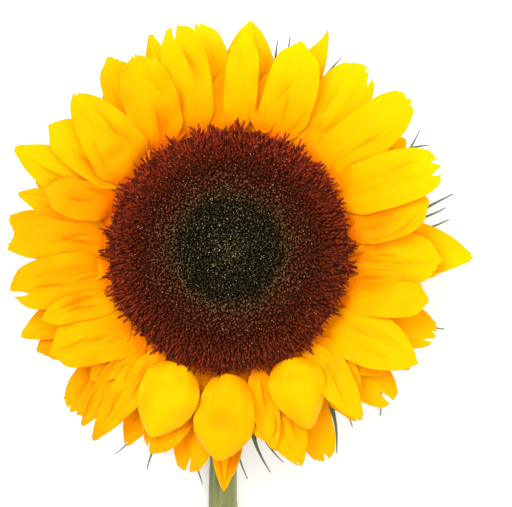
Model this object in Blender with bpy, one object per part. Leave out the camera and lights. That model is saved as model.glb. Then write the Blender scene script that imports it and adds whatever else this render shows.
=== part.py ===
"""Cut sunflower lying on its back: the head faces up, the neck bends over and the stem lies along -Y.

The head is built about the Z axis, with its parts in millimetres, and the finished flower is then moved so
that the middle of its lowest level is the world's origin. Bearings are in degrees, clockwise from +Y.
"""

import math

import bpy
from mathutils import Vector
from mathutils.bvhtree import BVHTree

MM = 0.001
SHEET_THICKNESS = 0.8
GAP = 0.4

# Stem: a straight cut stem with a tight nod under the head.
STEM_LENGTH = 262.0
STEM_TOP_Z = 19.4
NECK_STRAIGHT = 0.6
STEM_RADII = [(0.0, 6.9), (5.0, 5.5), (14.0, 4.8), (70.0, 4.35), (105.0, 4.9), (180.0, 5.6), (262.0, 6.3)]
STEM_DRIFT = [(0.0, 0.0), (60.0, -3.0), (100.0, -3.4), (180.0, -0.5), (262.0, 5.0)]
STEM_SIDES = 20
NECK_RINGS = 9
STEM_RINGS = 14

# Receptacle: the cup that carries the disc, with petals round its rim and bracts under them.
RIM_RADIUS = 39.0
CUP_TOP_Z = 39.4
CUP_PROFILE = [(0.0, 19.8), (7.5, 19.8), (13.0, 20.8), (22.0, 22.4), (31.0, 24.7), (36.6, 27.6),
               (RIM_RADIUS, 31.2), (RIM_RADIUS, 38.8), (38.4, CUP_TOP_Z), (0.0, CUP_TOP_Z)]
CUP_SEGMENTS = 48

# Disc: open florets outside, florets about to open in the middle ring, and closed buds in the centre.
DISC_BASE_Z = CUP_TOP_Z + GAP
OUTER_PROFILE = [(26.6, DISC_BASE_Z), (38.9, DISC_BASE_Z), (39.4, 42.6), (39.0, 45.4),
                 (36.2, 46.6), (32.5, 47.0), (29.2, 46.8), (26.6, 46.1)]
MIDDLE_PROFILE = [(17.4, DISC_BASE_Z), (26.2, DISC_BASE_Z), (26.2, 45.8), (23.4, 46.2), (20.2, 45.8),
                  (17.4, 45.0)]
CENTRE_PROFILE = [(0.0, DISC_BASE_Z), (17.0, DISC_BASE_Z), (17.0, 44.6), (13.0, 44.2), (7.0, 44.5), (0.0, 44.9)]
OUTER_SEGMENTS = 60
MIDDLE_SEGMENTS = 48
CENTRE_SEGMENTS = 36
FLORET_LUMPS = 0.22
FLORET_TEETH = 0.45
LUMPS_START = 1.0
EDGE_BAND = 1.0

# Petals: each row is (height of the attached end, height of the shoulder next to it, slope after the
# shoulder, slope at the tip). Only a hooded petal has a shoulder, which bulges up beside the disc.
PETAL_RING_RADIUS = 41.0
PETAL_ROWS = {
    "back": (34.5, 0.0, 9.0, -9.0),
    "middle": (35.8, 0.0, 22.0, -3.0),
    "front": (37.1, 0.0, 34.0, 2.0),
    "hooded": (37.4, 8.6, 14.0, -20.0),
}
SHOULDER_STATION = 0.13
PETAL_STATIONS = [0.0, 0.13, 0.29, 0.46, 0.64, 0.82, 1.0]
PETAL_COLUMNS = 5

# (tip bearing, base bearing, reach from the axis, width, row, rank, tip, cup, sweep). A petal lies on those
# of lower rank. Cup is the lift of both edges over half the width: above zero a trough, below it an arch.
# Sweep is the sideways bow of the middle line.
PETALS = [
    (4.5, 4.0, 70.0, 10.5, "front", 4, "round", -0.14, 0.0),
    (5.3, 8.0, 74.8, 17.5, "back", 0, "point", 0.08, 0.0),
    (19.2, 22.5, 70.7, 16.5, "front", 4, "round", -0.12, 0.8),
    (24.0, 26.5, 78.0, 10.5, "back", 0, "point", 0.15, -0.8),
    (36.5, 36.0, 73.7, 18.0, "middle", 2, "square", -0.08, 0.0),
    (49.8, 47.5, 75.5, 16.0, "front", 4, "square", -0.12, 0.9),
    (58.0, 57.0, 67.5, 13.0, "back", 0, "round", 0.05, 0.0),
    (68.3, 64.5, 72.5, 17.5, "front", 4, "square", -0.10, -0.5),
    (76.0, 78.5, 66.0, 15.5, "front", 3, "round", 0.12, 0.6),
    (91.7, 91.0, 78.5, 18.0, "back", 0, "point", 0.08, -1.8),
    (93.0, 92.0, 68.5, 17.0, "middle", 2, "round", 0.06, 0.0),
    (104.2, 110.0, 66.0, 14.5, "front", 5, "round", 0.16, -0.8),
    (112.6, 115.0, 72.3, 15.0, "back", 0, "square", 0.06, 0.0),
    (121.0, 126.0, 70.5, 17.5, "front", 4, "point", -0.14, -0.8),
    (133.0, 132.0, 72.0, 15.0, "back", 0, "square", 0.08, 0.0),
    (142.0, 137.0, 69.0, 11.5, "front", 3, "point", -0.12, 0.8),
    (156.0, 151.0, 63.0, 19.0, "hooded", 6, "egg", -0.26, 0.0),
    (155.3, 151.0, 75.0, 13.0, "back", 0, "square", 0.06, 0.0),
    (161.5, 163.0, 73.0, 15.5, "middle", 2, "point", 0.10, 0.8),
    (168.5, 171.5, 63.0, 9.0, "middle", 3, "round", 0.10, 0.0),
    (182.7, 179.5, 67.5, 19.2, "hooded", 6, "oval", -0.24, 0.0),
    (181.3, 179.0, 77.4, 11.5, "back", 0, "point", 0.20, 0.0),
    (190.7, 189.0, 72.9, 13.5, "back", 0, "square", 0.06, 0.0),
    (202.6, 203.6, 65.0, 19.2, "hooded", 6, "oval", -0.26, -0.5),
    (201.0, 193.0, 70.0, 14.5, "middle", 2, "round", 0.08, 0.8),
    (207.7, 210.0, 71.4, 12.0, "back", 0, "point", 0.06, 0.0),
    (215.5, 216.0, 75.0, 10.5, "middle", 2, "point", 0.14, 0.0),
    (220.0, 222.5, 73.4, 9.5, "middle", 1, "point", 0.14, 0.0),
    (224.5, 227.0, 73.2, 15.5, "back", 0, "square", 0.06, 0.0),
    (240.0, 230.0, 66.0, 17.0, "front", 4, "round", -0.14, 1.4),
    (242.4, 239.0, 70.3, 14.0, "back", 0, "round", 0.08, 0.0),
    (247.5, 249.5, 72.8, 13.5, "back", 0, "point", 0.08, 0.0),
    (249.6, 246.0, 63.7, 8.7, "front", 5, "round", -0.12, 1.0),
    (259.5, 260.0, 71.0, 16.5, "front", 4, "square", 0.10, 0.0),
    (274.5, 275.5, 70.5, 16.0, "front", 3, "square", 0.16, 0.0),
    (285.0, 285.0, 70.0, 11.0, "middle", 2, "point", 0.08, 0.0),
    (288.0, 291.5, 62.0, 12.5, "front", 5, "round", -0.16, -0.8),
    (295.5, 296.5, 76.3, 15.5, "middle", 1, "point", 0.08, -0.8),
    (305.0, 305.0, 70.5, 15.0, "middle", 2, "round", 0.08, 0.0),
    (315.2, 309.0, 70.5, 17.5, "front", 6, "egg", -0.22, 0.8),
    (328.0, 320.5, 73.3, 14.0, "middle", 2, "round", 0.08, 0.6),
    (334.4, 327.5, 69.4, 17.0, "front", 5, "round", 0.14, 0.8),
    (340.0, 338.5, 74.0, 11.0, "back", 0, "point", 0.08, -0.8),
    (347.0, 344.0, 73.5, 15.0, "front", 3, "square", -0.08, 0.5),
    (352.0, 355.5, 74.0, 15.5, "back", 0, "square", 0.06, 0.0),
]

# Half-width along a petal as a share of its widest, at PETAL_STATIONS, for each kind of tip.
PETAL_OUTLINES = {
    "round": [0.46, 0.77, 0.94, 1.0, 0.97, 0.78, 0.26],
    "square": [0.46, 0.74, 0.91, 1.0, 0.99, 0.84, 0.44],
    "point": [0.46, 0.78, 0.95, 1.0, 0.88, 0.58, 0.10],
    "egg": [0.58, 0.90, 1.0, 0.98, 0.84, 0.60, 0.16],
    "oval": [0.50, 0.84, 0.98, 1.0, 0.95, 0.78, 0.34],
}

# Bracts: narrow green leaves from the side of the cup. The low series reflexes down to the surface.
BRACT_SERIES = {"high": (39.9, 30.4), "low": (38.2, 26.4)}
BRACT_STATIONS = [0.0, 0.22, 0.45, 0.7, 1.0]
BRACT_OUTLINE = [0.80, 1.0, 0.72, 0.34, 0.10]
BRACT_COLUMNS = 3
BRACT_FOLD = 0.18

# (tip bearing, base bearing, reach, width, series, height of the tip, sweep).
BRACTS = [
    (17.0, 21.0, 74.0, 8.0, "low", 0.0, -1.5),
    (59.0, 57.0, 73.4, 8.5, "high", 27.0, 1.0),
    (75.4, 84.0, 76.7, 8.0, "low", 0.0, 2.0),
    (132.4, 126.0, 75.0, 9.0, "low", 0.0, -2.5),
    (149.5, 145.0, 75.0, 8.0, "high", 25.0, -1.5),
    (169.6, 171.5, 71.5, 6.5, "high", 24.0, 1.5),
    (203.5, 200.0, 76.0, 8.0, "high", 24.5, -2.0),
    (236.0, 232.0, 61.0, 9.5, "low", 0.0, 1.5),
    (284.0, 282.0, 60.0, 9.5, "low", 0.0, -1.5),
    (330.0, 333.0, 61.0, 9.5, "low", 0.0, 1.5),
]


def on_bearing(radius, bearing, height=0.0):
    """The point at this distance from the axis, this bearing and this height."""
    angle = math.radians(bearing)
    return Vector((radius * math.sin(angle), radius * math.cos(angle), height))


def material(name, colour, roughness):
    finish = bpy.data.materials.new(name)
    finish.use_nodes = True
    shader = finish.node_tree.nodes["Principled BSDF"]
    shader.inputs["Base Color"].default_value = (*colour, 1.0)
    shader.inputs["Roughness"].default_value = roughness
    shader.inputs["Metallic"].default_value = 0.0
    return finish


def solid(name, points, faces, parent, finish):
    """A smooth-shaded object from points in millimetres."""
    mesh = bpy.data.meshes.new(name)
    mesh.from_pydata([point * MM for point in points], [], faces)
    mesh.materials.append(finish)
    mesh.shade_smooth()
    mesh.set_sharp_from_angle(angle=math.radians(50.0))
    piece = bpy.data.objects.new(name, mesh)
    bpy.context.collection.objects.link(piece)
    piece.parent = parent
    return piece


def read_curve(knots, where):
    """The smooth value at this place of a list of (place, value) knots."""
    for (start, low), (end, high) in zip(knots, knots[1:]):
        if where <= end:
            share = (where - start) / (end - start)
            return low + (high - low) * share * share * (3.0 - 2.0 * share)
    return knots[-1][1]


def sheet_faces(rows, columns):
    """Triangles of a closed thin sheet whose top and bottom are grids of this size."""
    faces = []
    under = rows * columns

    def wall(a, b):
        faces.append((a, a + under, b + under))
        faces.append((a, b + under, b))

    for row in range(rows - 1):
        for column in range(columns - 1):
            a = row * columns + column
            b, c, d = a + 1, a + columns, a + columns + 1
            faces.extend([(a, b, d), (a, d, c)])
            faces.extend([(a + under, d + under, b + under), (a + under, c + under, d + under)])
    for column in range(columns - 1):
        wall(column, column + 1)
        last = (rows - 1) * columns + column
        wall(last + 1, last)
    for row in range(rows - 1):
        wall((row + 1) * columns, row * columns)
        edge = row * columns + columns - 1
        wall(edge, edge + columns)
    return faces


def sheet_points(middle):
    """Top points and then bottom points of a sheet about this grid of middle points."""
    half = Vector((0.0, 0.0, SHEET_THICKNESS / 2.0))
    flat = [point for row in middle for point in row]
    return [point + half for point in flat] + [point - half for point in flat]


def blade(base, tip, half_widths, stations, columns, height_at, fold_at, sweep):
    """A grid of middle points for a leaf from base to tip, whose rows cross the line between them."""
    along = (tip - base).to_2d()
    length = along.length
    forward = Vector((along.x, along.y, 0.0)) / length
    side = Vector((forward.y, -forward.x, 0.0))
    grid = []
    for station, half_width in zip(stations, half_widths):
        spine = base + forward * (length * station) + side * (sweep * math.sin(math.pi * station))
        row = []
        for column in range(columns):
            across = 2.0 * column / (columns - 1) - 1.0
            point = spine + side * (across * half_width)
            point.z = height_at(station, length) + fold_at(station, across, half_width)
            row.append(point)
        grid.append(row)
    return grid


def petal_grid(tip_bearing, base_bearing, reach, width, row, tip, cup, sweep):
    root_height, shoulder, root_slope, tip_slope = PETAL_ROWS[row]
    steep, shallow = math.tan(math.radians(root_slope)), math.tan(math.radians(tip_slope))
    base = on_bearing(PETAL_RING_RADIUS, base_bearing)
    end = on_bearing(reach, tip_bearing)
    half_widths = [width / 2.0 * share for share in PETAL_OUTLINES[tip]]

    def height_at(station, length):
        raised = shoulder * min(1.0, station / SHOULDER_STATION)
        return root_height + raised + length * (steep * station + (shallow - steep) * station * station / 2.0)

    def fold_at(station, across, half_width):
        return cup * half_width * (across * across - 0.35)

    return blade(base, end, half_widths, PETAL_STATIONS, PETAL_COLUMNS, height_at, fold_at, sweep)


def bract_grid(tip_bearing, base_bearing, reach, width, series, tip_height, sweep):
    base_radius, root_height = BRACT_SERIES[series]
    base = on_bearing(base_radius, base_bearing)
    end = on_bearing(reach, tip_bearing)
    half_widths = [width / 2.0 * share for share in BRACT_OUTLINE]
    rest = tip_height + SHEET_THICKNESS / 2.0 + BRACT_FOLD * half_widths[-1]

    def height_at(station, length):
        return root_height + (rest - root_height) * station ** 1.25

    def fold_at(station, across, half_width):
        return BRACT_FOLD * half_width * (1.0 - 2.0 * abs(across)) * -1.0

    return blade(base, end, half_widths, BRACT_STATIONS, BRACT_COLUMNS, height_at, fold_at, sweep)


CLEARANCE_STEPS = 9
EDGE_INSET = 0.01
LIFT_SLOPE = 0.35
LIFT_TOLERANCE = 0.01
ABOVE_ALL = 200.0
DOWN = Vector((0.0, 0.0, -1.0))
UP = Vector((0.0, 0.0, 1.0))


def clearance_lifts(grid, faces, below):
    """How far each point of the grid has to rise for the sheet to clear the surfaces below it."""
    rows, columns = len(grid), len(grid[0])
    own = BVHTree.FromPolygons(sheet_points(grid), faces)
    lifts = [[0.0] * columns for _ in range(rows)]
    for row in range(rows - 1):
        for column in range(columns - 1):
            corners = (grid[row][column], grid[row][column + 1], grid[row + 1][column], grid[row + 1][column + 1])
            need = 0.0
            for i in range(CLEARANCE_STEPS + 1):
                for j in range(CLEARANCE_STEPS + 1):
                    s = EDGE_INSET + (1.0 - 2.0 * EDGE_INSET) * i / CLEARANCE_STEPS
                    t = EDGE_INSET + (1.0 - 2.0 * EDGE_INSET) * j / CLEARANCE_STEPS
                    near = corners[0].lerp(corners[1], t)
                    spot = near.lerp(corners[2].lerp(corners[3], t), s)
                    under = below.ray_cast(Vector((spot.x, spot.y, ABOVE_ALL)), DOWN)[0]
                    mine = own.ray_cast(Vector((spot.x, spot.y, -ABOVE_ALL)), UP)[0]
                    if under and mine:
                        need = max(need, under.z + GAP - mine.z)
            for r, c in ((row, column), (row, column + 1), (row + 1, column), (row + 1, column + 1)):
                lifts[r][c] = max(lifts[r][c], need)
    for _ in range(rows + columns):
        for r in range(rows):
            for c in range(columns):
                for other_r, other_c in ((r - 1, c), (r + 1, c), (r, c - 1), (r, c + 1)):
                    if 0 <= other_r < rows and 0 <= other_c < columns:
                        apart = (grid[r][c] - grid[other_r][other_c]).to_2d().length
                        lifts[r][c] = max(lifts[r][c], lifts[other_r][other_c] - LIFT_SLOPE * apart)
    return lifts


def lay_on(grid, faces, below, tries=4):
    """Raises the grid smoothly until the sheet clears everything below it."""
    for _ in range(tries):
        lifts = clearance_lifts(grid, faces, below)
        if max(map(max, lifts)) < LIFT_TOLERANCE:
            break
        for row, row_lifts in zip(grid, lifts):
            for point, lift in zip(row, row_lifts):
                point.z += lift


def surface_of(sheets):
    """One search tree over the triangles of several sheets."""
    points, triangles = [], []
    for sheet, faces in sheets:
        start = len(points)
        points.extend(sheet)
        triangles.extend([tuple(start + corner for corner in face) for face in faces])
    return BVHTree.FromPolygons(points, triangles)


def turned(profile, segments, lumps=0.0, teeth=0.0):
    """Points and faces of a profile turned about the axis. Lumps roughen the top, and teeth the outer edge."""
    points, faces, rings = [], [], []
    floor = profile[0][1]
    outside = max(radius for radius, _ in profile)
    for index, (radius, height) in enumerate(profile):
        if radius == 0.0:
            rings.append([len(points)] * segments)
            points.append(Vector((0.0, 0.0, height)))
            continue
        rings.append(list(range(len(points), len(points) + segments)))
        raised = height > floor + LUMPS_START
        at_edge = raised and radius > outside - EDGE_BAND
        for step in range(segments):
            push = 1.0 if (step + index) % 2 else -1.0
            wider = radius + teeth * push * at_edge
            points.append(on_bearing(wider, -360.0 * step / segments, height + lumps * push * raised))
    closed = profile[0][0] > 0.0
    pairs = list(zip(rings, rings[1:])) + ([(rings[-1], rings[0])] if closed else [])
    for lower, upper in pairs:
        for step in range(segments):
            after = (step + 1) % segments
            corners = [lower[step], lower[after], upper[after], upper[step]]
            kept = [corner for place, corner in enumerate(corners) if corner not in corners[:place]]
            if len(kept) == 4:
                faces.extend([tuple(kept[:3]), (kept[0], kept[2], kept[3])])
            else:
                faces.append(tuple(kept))
    return points, faces


def stem_route():
    """Middle points of the stem with their distances along it, from the head to the cut end."""
    rest_radius = read_curve(STEM_RADII, 14.0)
    bend = STEM_TOP_Z - NECK_STRAIGHT - rest_radius
    route = [(0.0, Vector((0.0, 0.0, STEM_TOP_Z)))]
    for step in range(NECK_RINGS + 1):
        turn = math.pi / 2.0 * step / NECK_RINGS
        point = Vector((0.0, -bend * (1.0 - math.cos(turn)), STEM_TOP_Z - NECK_STRAIGHT - bend * math.sin(turn)))
        route.append((NECK_STRAIGHT + bend * turn, point))
    start = route[-1][0]
    for step in range(1, STEM_RINGS + 1):
        along = start + (STEM_LENGTH - start) * step / STEM_RINGS
        sideways = read_curve(STEM_DRIFT, along) - read_curve(STEM_DRIFT, start)
        height = read_curve(STEM_RADII, along)
        route.append((along, Vector((sideways, -bend - (along - start), height))))
    return route


def stem_solid():
    route = stem_route()
    points, faces = [], []
    for index, (along, centre) in enumerate(route):
        before = route[max(index - 1, 0)][1]
        after = route[min(index + 1, len(route) - 1)][1]
        forward = DOWN if index == 0 else (after - before).normalized()
        across = Vector((1.0, 0.0, 0.0))
        across = (across - forward * across.dot(forward)).normalized()
        upward = across.cross(forward)
        radius = read_curve(STEM_RADII, along)
        for side in range(STEM_SIDES):
            angle = 2.0 * math.pi * side / STEM_SIDES
            points.append(centre + (across * math.cos(angle) + upward * math.sin(angle)) * radius)
    for ring in range(len(route) - 1):
        for side in range(STEM_SIDES):
            a = ring * STEM_SIDES + side
            b = ring * STEM_SIDES + (side + 1) % STEM_SIDES
            c, d = a + STEM_SIDES, b + STEM_SIDES
            faces.extend([(a, c, b), (b, c, d)])
    last = (len(route) - 1) * STEM_SIDES
    faces.append(tuple(range(STEM_SIDES)))
    faces.append(tuple(reversed(range(last, last + STEM_SIDES))))
    return points, faces


for thing in list(bpy.data.objects):
    bpy.data.objects.remove(thing, do_unlink=True)

flower = bpy.data.objects.new("flower", None)
bpy.context.collection.objects.link(flower)
pieces = []

stem_points, stem_faces = stem_solid()
stem_finish = material("stem", (0.27, 0.34, 0.14), 0.55)
pieces.append(solid("stem", stem_points, stem_faces, flower, stem_finish))

cup_points, cup_faces = turned(CUP_PROFILE, CUP_SEGMENTS)
cup_finish = material("receptacle", (0.17, 0.25, 0.08), 0.6)
pieces.append(solid("receptacle", cup_points, cup_faces, flower, cup_finish))

DISC_RINGS = [
    ("disc_outer_florets", OUTER_PROFILE, OUTER_SEGMENTS, FLORET_TEETH, (0.10, 0.015, 0.010)),
    ("disc_middle_florets", MIDDLE_PROFILE, MIDDLE_SEGMENTS, 0.0, (0.11, 0.045, 0.018)),
    ("disc_centre_buds", CENTRE_PROFILE, CENTRE_SEGMENTS, 0.0, (0.018, 0.022, 0.012)),
]
for ring_name, ring_profile, ring_segments, ring_teeth, ring_colour in DISC_RINGS:
    ring_points, ring_faces = turned(ring_profile, ring_segments, FLORET_LUMPS, ring_teeth)
    finish = material(ring_name, ring_colour, 0.7)
    pieces.append(solid(ring_name, ring_points, ring_faces, flower, finish))

petal_faces = sheet_faces(len(PETAL_STATIONS), PETAL_COLUMNS)
petals_from_behind = sorted(range(len(PETALS)), key=lambda number: (PETALS[number][5], number))
laid = []
for number in petals_from_behind:
    tip_at, base_at, reach, width, row, rank, tip, cup, sweep = PETALS[number]
    grid = petal_grid(tip_at, base_at, reach, width, row, tip, cup, sweep)
    if laid:
        lay_on(grid, petal_faces, surface_of(laid))
    petal_points = sheet_points(grid)
    laid.append((petal_points, petal_faces))
    petal_name = f"petal_{number + 1:02d}"
    finish = material(petal_name, (0.95, 0.56, 0.01), 0.45)
    pieces.append(solid(petal_name, petal_points, petal_faces, flower, finish))

bract_faces = sheet_faces(len(BRACT_STATIONS), BRACT_COLUMNS)
for number, bract in enumerate(BRACTS, start=1):
    bract_name = f"bract_{number:02d}"
    finish = material(bract_name, (0.18, 0.24, 0.09), 0.6)
    pieces.append(solid(bract_name, sheet_points(bract_grid(*bract)), bract_faces, flower, finish))

# The flower's box is centred on the origin, with its lowest level at zero.
corners = [vertex.co for piece in pieces for vertex in piece.data.vertices]
lowest = Vector([min(corner[axis] for corner in corners) for axis in range(3)])
highest = Vector([max(corner[axis] for corner in corners) for axis in range(3)])
middle = (lowest + highest) / 2.0
flower.location = (-middle.x, -middle.y, -lowest.z)
bpy.context.view_layer.update()
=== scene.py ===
import math

import bpy
import numpy as np
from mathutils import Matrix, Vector


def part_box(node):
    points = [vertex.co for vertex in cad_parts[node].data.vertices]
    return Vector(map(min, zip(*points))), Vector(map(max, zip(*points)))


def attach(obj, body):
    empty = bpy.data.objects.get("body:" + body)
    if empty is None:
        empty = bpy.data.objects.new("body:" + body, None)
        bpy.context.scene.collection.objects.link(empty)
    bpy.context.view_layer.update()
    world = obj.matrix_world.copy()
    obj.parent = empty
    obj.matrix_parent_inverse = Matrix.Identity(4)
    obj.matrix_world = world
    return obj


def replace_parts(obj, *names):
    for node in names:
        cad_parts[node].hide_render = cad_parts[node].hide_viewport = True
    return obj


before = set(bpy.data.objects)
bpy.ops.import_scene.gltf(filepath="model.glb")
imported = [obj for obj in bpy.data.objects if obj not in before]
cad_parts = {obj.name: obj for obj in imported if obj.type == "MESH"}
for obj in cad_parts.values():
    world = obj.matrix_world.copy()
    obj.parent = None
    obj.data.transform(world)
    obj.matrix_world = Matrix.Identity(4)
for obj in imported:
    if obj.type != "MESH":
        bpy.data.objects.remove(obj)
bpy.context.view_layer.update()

MM = 0.001
dice = np.random.default_rng(7)

# STEM
# One cut stem: pale green and round, with shallow ribs, a fuzz of short stiff hairs, and scars where
# leaves were pulled off. It bends tightly under the head, and its cut end shows a ring of vessels round
# white pith.


class Wire:
    """A value in a finish. Sums with it add nodes."""

    def __init__(self, finish, socket):
        self.finish = finish
        self.socket = socket

    def sum_with(self, operation, *values):
        return self.finish.node("ShaderNodeMath", {"operation": operation}, dict(enumerate(values)))

    def __add__(self, other):
        return self.sum_with("ADD", self, other)

    def __radd__(self, other):
        return self.sum_with("ADD", other, self)

    def __sub__(self, other):
        return self.sum_with("SUBTRACT", self, other)

    def __rsub__(self, other):
        return self.sum_with("SUBTRACT", other, self)

    def __mul__(self, other):
        return self.sum_with("MULTIPLY", self, other)

    def __rmul__(self, other):
        return self.sum_with("MULTIPLY", other, self)

    def __pow__(self, other):
        return self.sum_with("POWER", self, other)

    def clamped(self):
        return self.finish.node("ShaderNodeClamp", {}, {"Value": self})


class Finish:
    """One material: a Principled surface whose sockets take values, wires or colours."""

    def __init__(self, name, **steady):
        self.material = bpy.data.materials.new(name)
        self.material.use_nodes = True
        self.tree = self.material.node_tree
        self.surface = self.tree.nodes["Principled BSDF"]
        self.set(**steady)

    def set(self, **sockets):
        for name, value in sockets.items():
            self.feed(self.surface.inputs[name.replace("_", " ")], value)

    def feed(self, socket, value):
        if isinstance(value, Wire):
            self.tree.links.new(value.socket, socket)
        elif isinstance(value, tuple) and len(value) == 3 and len(socket.default_value) == 4:
            socket.default_value = (*value, 1.0)
        else:
            socket.default_value = value

    def node(self, kind, settings, values, out=0):
        made = self.tree.nodes.new(kind)
        for name, value in settings.items():
            if name == "stops":
                while len(made.color_ramp.elements) < len(value):
                    made.color_ramp.elements.new(1.0)
                for element, (place, colour) in zip(made.color_ramp.elements, value):
                    element.position = place
                    element.color = (*colour, 1.0)
            else:
                setattr(made, name, value)
        for name, value in values.items():
            self.feed(made.inputs[name], value)
        return Wire(self, made.outputs[out])

    def mark(self, name):
        """A value stored on the mesh, point by point."""
        return self.node("ShaderNodeAttribute", {"attribute_name": name}, {}, out=2)

    def wave(self, operation, value):
        return self.node("ShaderNodeMath", {"operation": operation}, {0: value})

    def blend(self, factor, first, second):
        return self.node("ShaderNodeMix", {"data_type": "RGBA"}, {0: factor, 6: first, 7: second}, out=2)

    def ramp(self, factor, *stops):
        return self.node("ShaderNodeValToRGB", {"stops": stops}, {"Fac": factor})

    def spread(self, *parts):
        return self.node("ShaderNodeCombineXYZ", {}, dict(enumerate(parts)))

    def noise(self, where, scale, detail=3.0, rough=0.5):
        values = {"Vector": where, "Scale": scale, "Detail": detail, "Roughness": rough}
        return self.node("ShaderNodeTexNoise", {}, values)

    def bump(self, height, depth, strength=1.0):
        values = {"Height": height, "Distance": depth, "Strength": strength}
        self.set(Normal=self.node("ShaderNodeBump", {}, values))

    def place(self):
        return self.node("ShaderNodeTexCoord", {}, {}, out=3)


def piece_from(name, points, faces, finish, marks=None):
    """A shown piece from arrays of points and of faces with the same number of corners."""
    mesh = bpy.data.meshes.new(name)
    mesh.vertices.add(len(points))
    mesh.vertices.foreach_set("co", np.ascontiguousarray(points, np.float32).ravel())
    mesh.loops.add(faces.size)
    mesh.loops.foreach_set("vertex_index", np.ascontiguousarray(faces, np.int32).ravel())
    mesh.polygons.add(len(faces))
    mesh.polygons.foreach_set("loop_start", np.arange(0, faces.size, faces.shape[1], dtype=np.int32))
    mesh.update(calc_edges=True)
    mesh.polygons.foreach_set("use_smooth", np.ones(len(faces), bool))
    for mark, values in (marks or {}).items():
        stored = mesh.attributes.new(mark, "FLOAT", "POINT")
        stored.data.foreach_set("value", np.ascontiguousarray(values, np.float32))
    mesh.materials.append(finish.material)
    piece = bpy.data.objects.new(name, mesh)
    bpy.context.scene.collection.objects.link(piece)
    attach(piece, "root")
    return piece


def clipped(values):
    """Values held between 0 and 1."""
    return np.clip(values, 0.0, 1.0)


def round_turns(sides):
    """Even angles round a circle."""
    return np.linspace(0.0, 2.0 * math.pi, sides, endpoint=False)


def through(places, values, wanted):
    """A smooth curve through values at places, read at wanted. It runs straight on past both ends."""
    slopes = np.gradient(values, places, axis=0)
    index = np.clip(np.searchsorted(places, wanted, side="right") - 1, 0, len(places) - 2)
    span = places[index + 1] - places[index]
    share = (wanted - places[index]) / span
    inside = clipped(share)
    shape = (-1,) + (1,) * (values.ndim - 1)
    t, h = inside.reshape(shape), span.reshape(shape)
    low, high, start, end = values[index], values[index + 1], slopes[index], slopes[index + 1]
    curve = ((2 * t**3 - 3 * t**2 + 1) * low + (t**3 - 2 * t**2 + t) * h * start
             + (3 * t**2 - 2 * t**3) * high + (t**3 - t**2) * h * end)
    beyond = (share - inside).reshape(shape) * h
    return curve + beyond * np.where(beyond < 0.0, start, end)


def grid_faces(rows, columns, closed=False):
    """Quads between the points of a grid, joined side to side where it is closed."""
    row = np.arange(rows - 1)[:, None]
    column = np.arange(columns if closed else columns - 1)[None, :]
    after = (column + 1) % columns
    corners = (row * columns + column, row * columns + after, (row + 1) * columns + after,
               (row + 1) * columns + column)
    return np.stack([corner + 0 * row + 0 * column for corner in corners], axis=-1).reshape(-1, 4)


cup_low, cup_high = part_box("receptacle")
HEAD = (cup_low + cup_high) / 2.0
STEM_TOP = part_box("stem")[1].z


def own_points(node):
    """The corners of a CAD node, each of them once."""
    corners = np.array([corner.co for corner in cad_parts[node].data.vertices])
    _, first = np.unique(np.round(corners / (0.001 * MM)), axis=0, return_index=True)
    return corners[first]


LYING_FROM = 22.0 * MM
LYING_RADIUS = 4.8 * MM
RING_APART = 4.0 * MM


def stem_route():
    """Middle points and radii of the stem from its top, round the neck, and along to the cut end."""
    corners = own_points("stem")
    top = corners[corners[:, 2] > STEM_TOP - 0.05 * MM]
    top_radius = np.ptp(top[:, 0]) / 2.0
    lying = corners[corners[:, 1] < HEAD.y - LYING_FROM]
    lying = lying[np.argsort(-lying[:, 1])]
    breaks = np.where(np.diff(lying[:, 1]) < -RING_APART)[0] + 1
    rings = [ring for ring in np.split(lying, breaks) if len(ring) > 8]
    middles = [(ring.max(axis=0) + ring.min(axis=0)) / 2.0 for ring in rings]
    radii = [np.ptp(ring[:, 2]) / 2.0 for ring in rings]
    bend = STEM_TOP - 0.6 * MM - LYING_RADIUS
    route = [np.array((HEAD.x, HEAD.y, STEM_TOP + 0.3 * MM))]
    route_radii = [top_radius]
    for turn in np.linspace(0.0, math.pi / 2.0, 8):
        back, drop = bend * (1.0 - math.cos(turn)), bend * (1.0 - math.sin(turn))
        route.append(np.array((HEAD.x, HEAD.y - back, LYING_RADIUS + drop)))
        route_radii.append(LYING_RADIUS + (top_radius - LYING_RADIUS) * (1.0 - turn / (math.pi / 2.0)) ** 3)
    return np.array(route + middles), np.array(route_radii + radii)


STEM_SIDES = 72
STEM_STATIONS = 420
route, radii = stem_route()
lengths = np.concatenate([[0.0], np.cumsum(np.linalg.norm(np.diff(route, axis=0), axis=1))])
stem_along = np.linspace(0.0, lengths[-1], STEM_STATIONS)
stem_middle = through(lengths, route, stem_along)
stem_radius = through(lengths, radii, stem_along)
stem_forward = np.gradient(stem_middle, axis=0)
stem_forward /= np.linalg.norm(stem_forward, axis=1, keepdims=True)
stem_across = np.array((1.0, 0.0, 0.0)) - stem_forward * stem_forward[:, :1]
stem_across /= np.linalg.norm(stem_across, axis=1, keepdims=True)
stem_up = np.cross(stem_across, stem_forward)
stem_turn = round_turns(STEM_SIDES)

RIBS = 11
RIB_TWIST = 0.012
RIB_DEPTH = 0.10 * MM
# Leaf scars: (millimetres from the head, angle round the stem, size).
LEAF_SCARS = ((96.0, 0.6, 1.0), (148.0, 2.7, 1.2), (205.0, 5.0, 1.1))


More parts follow.
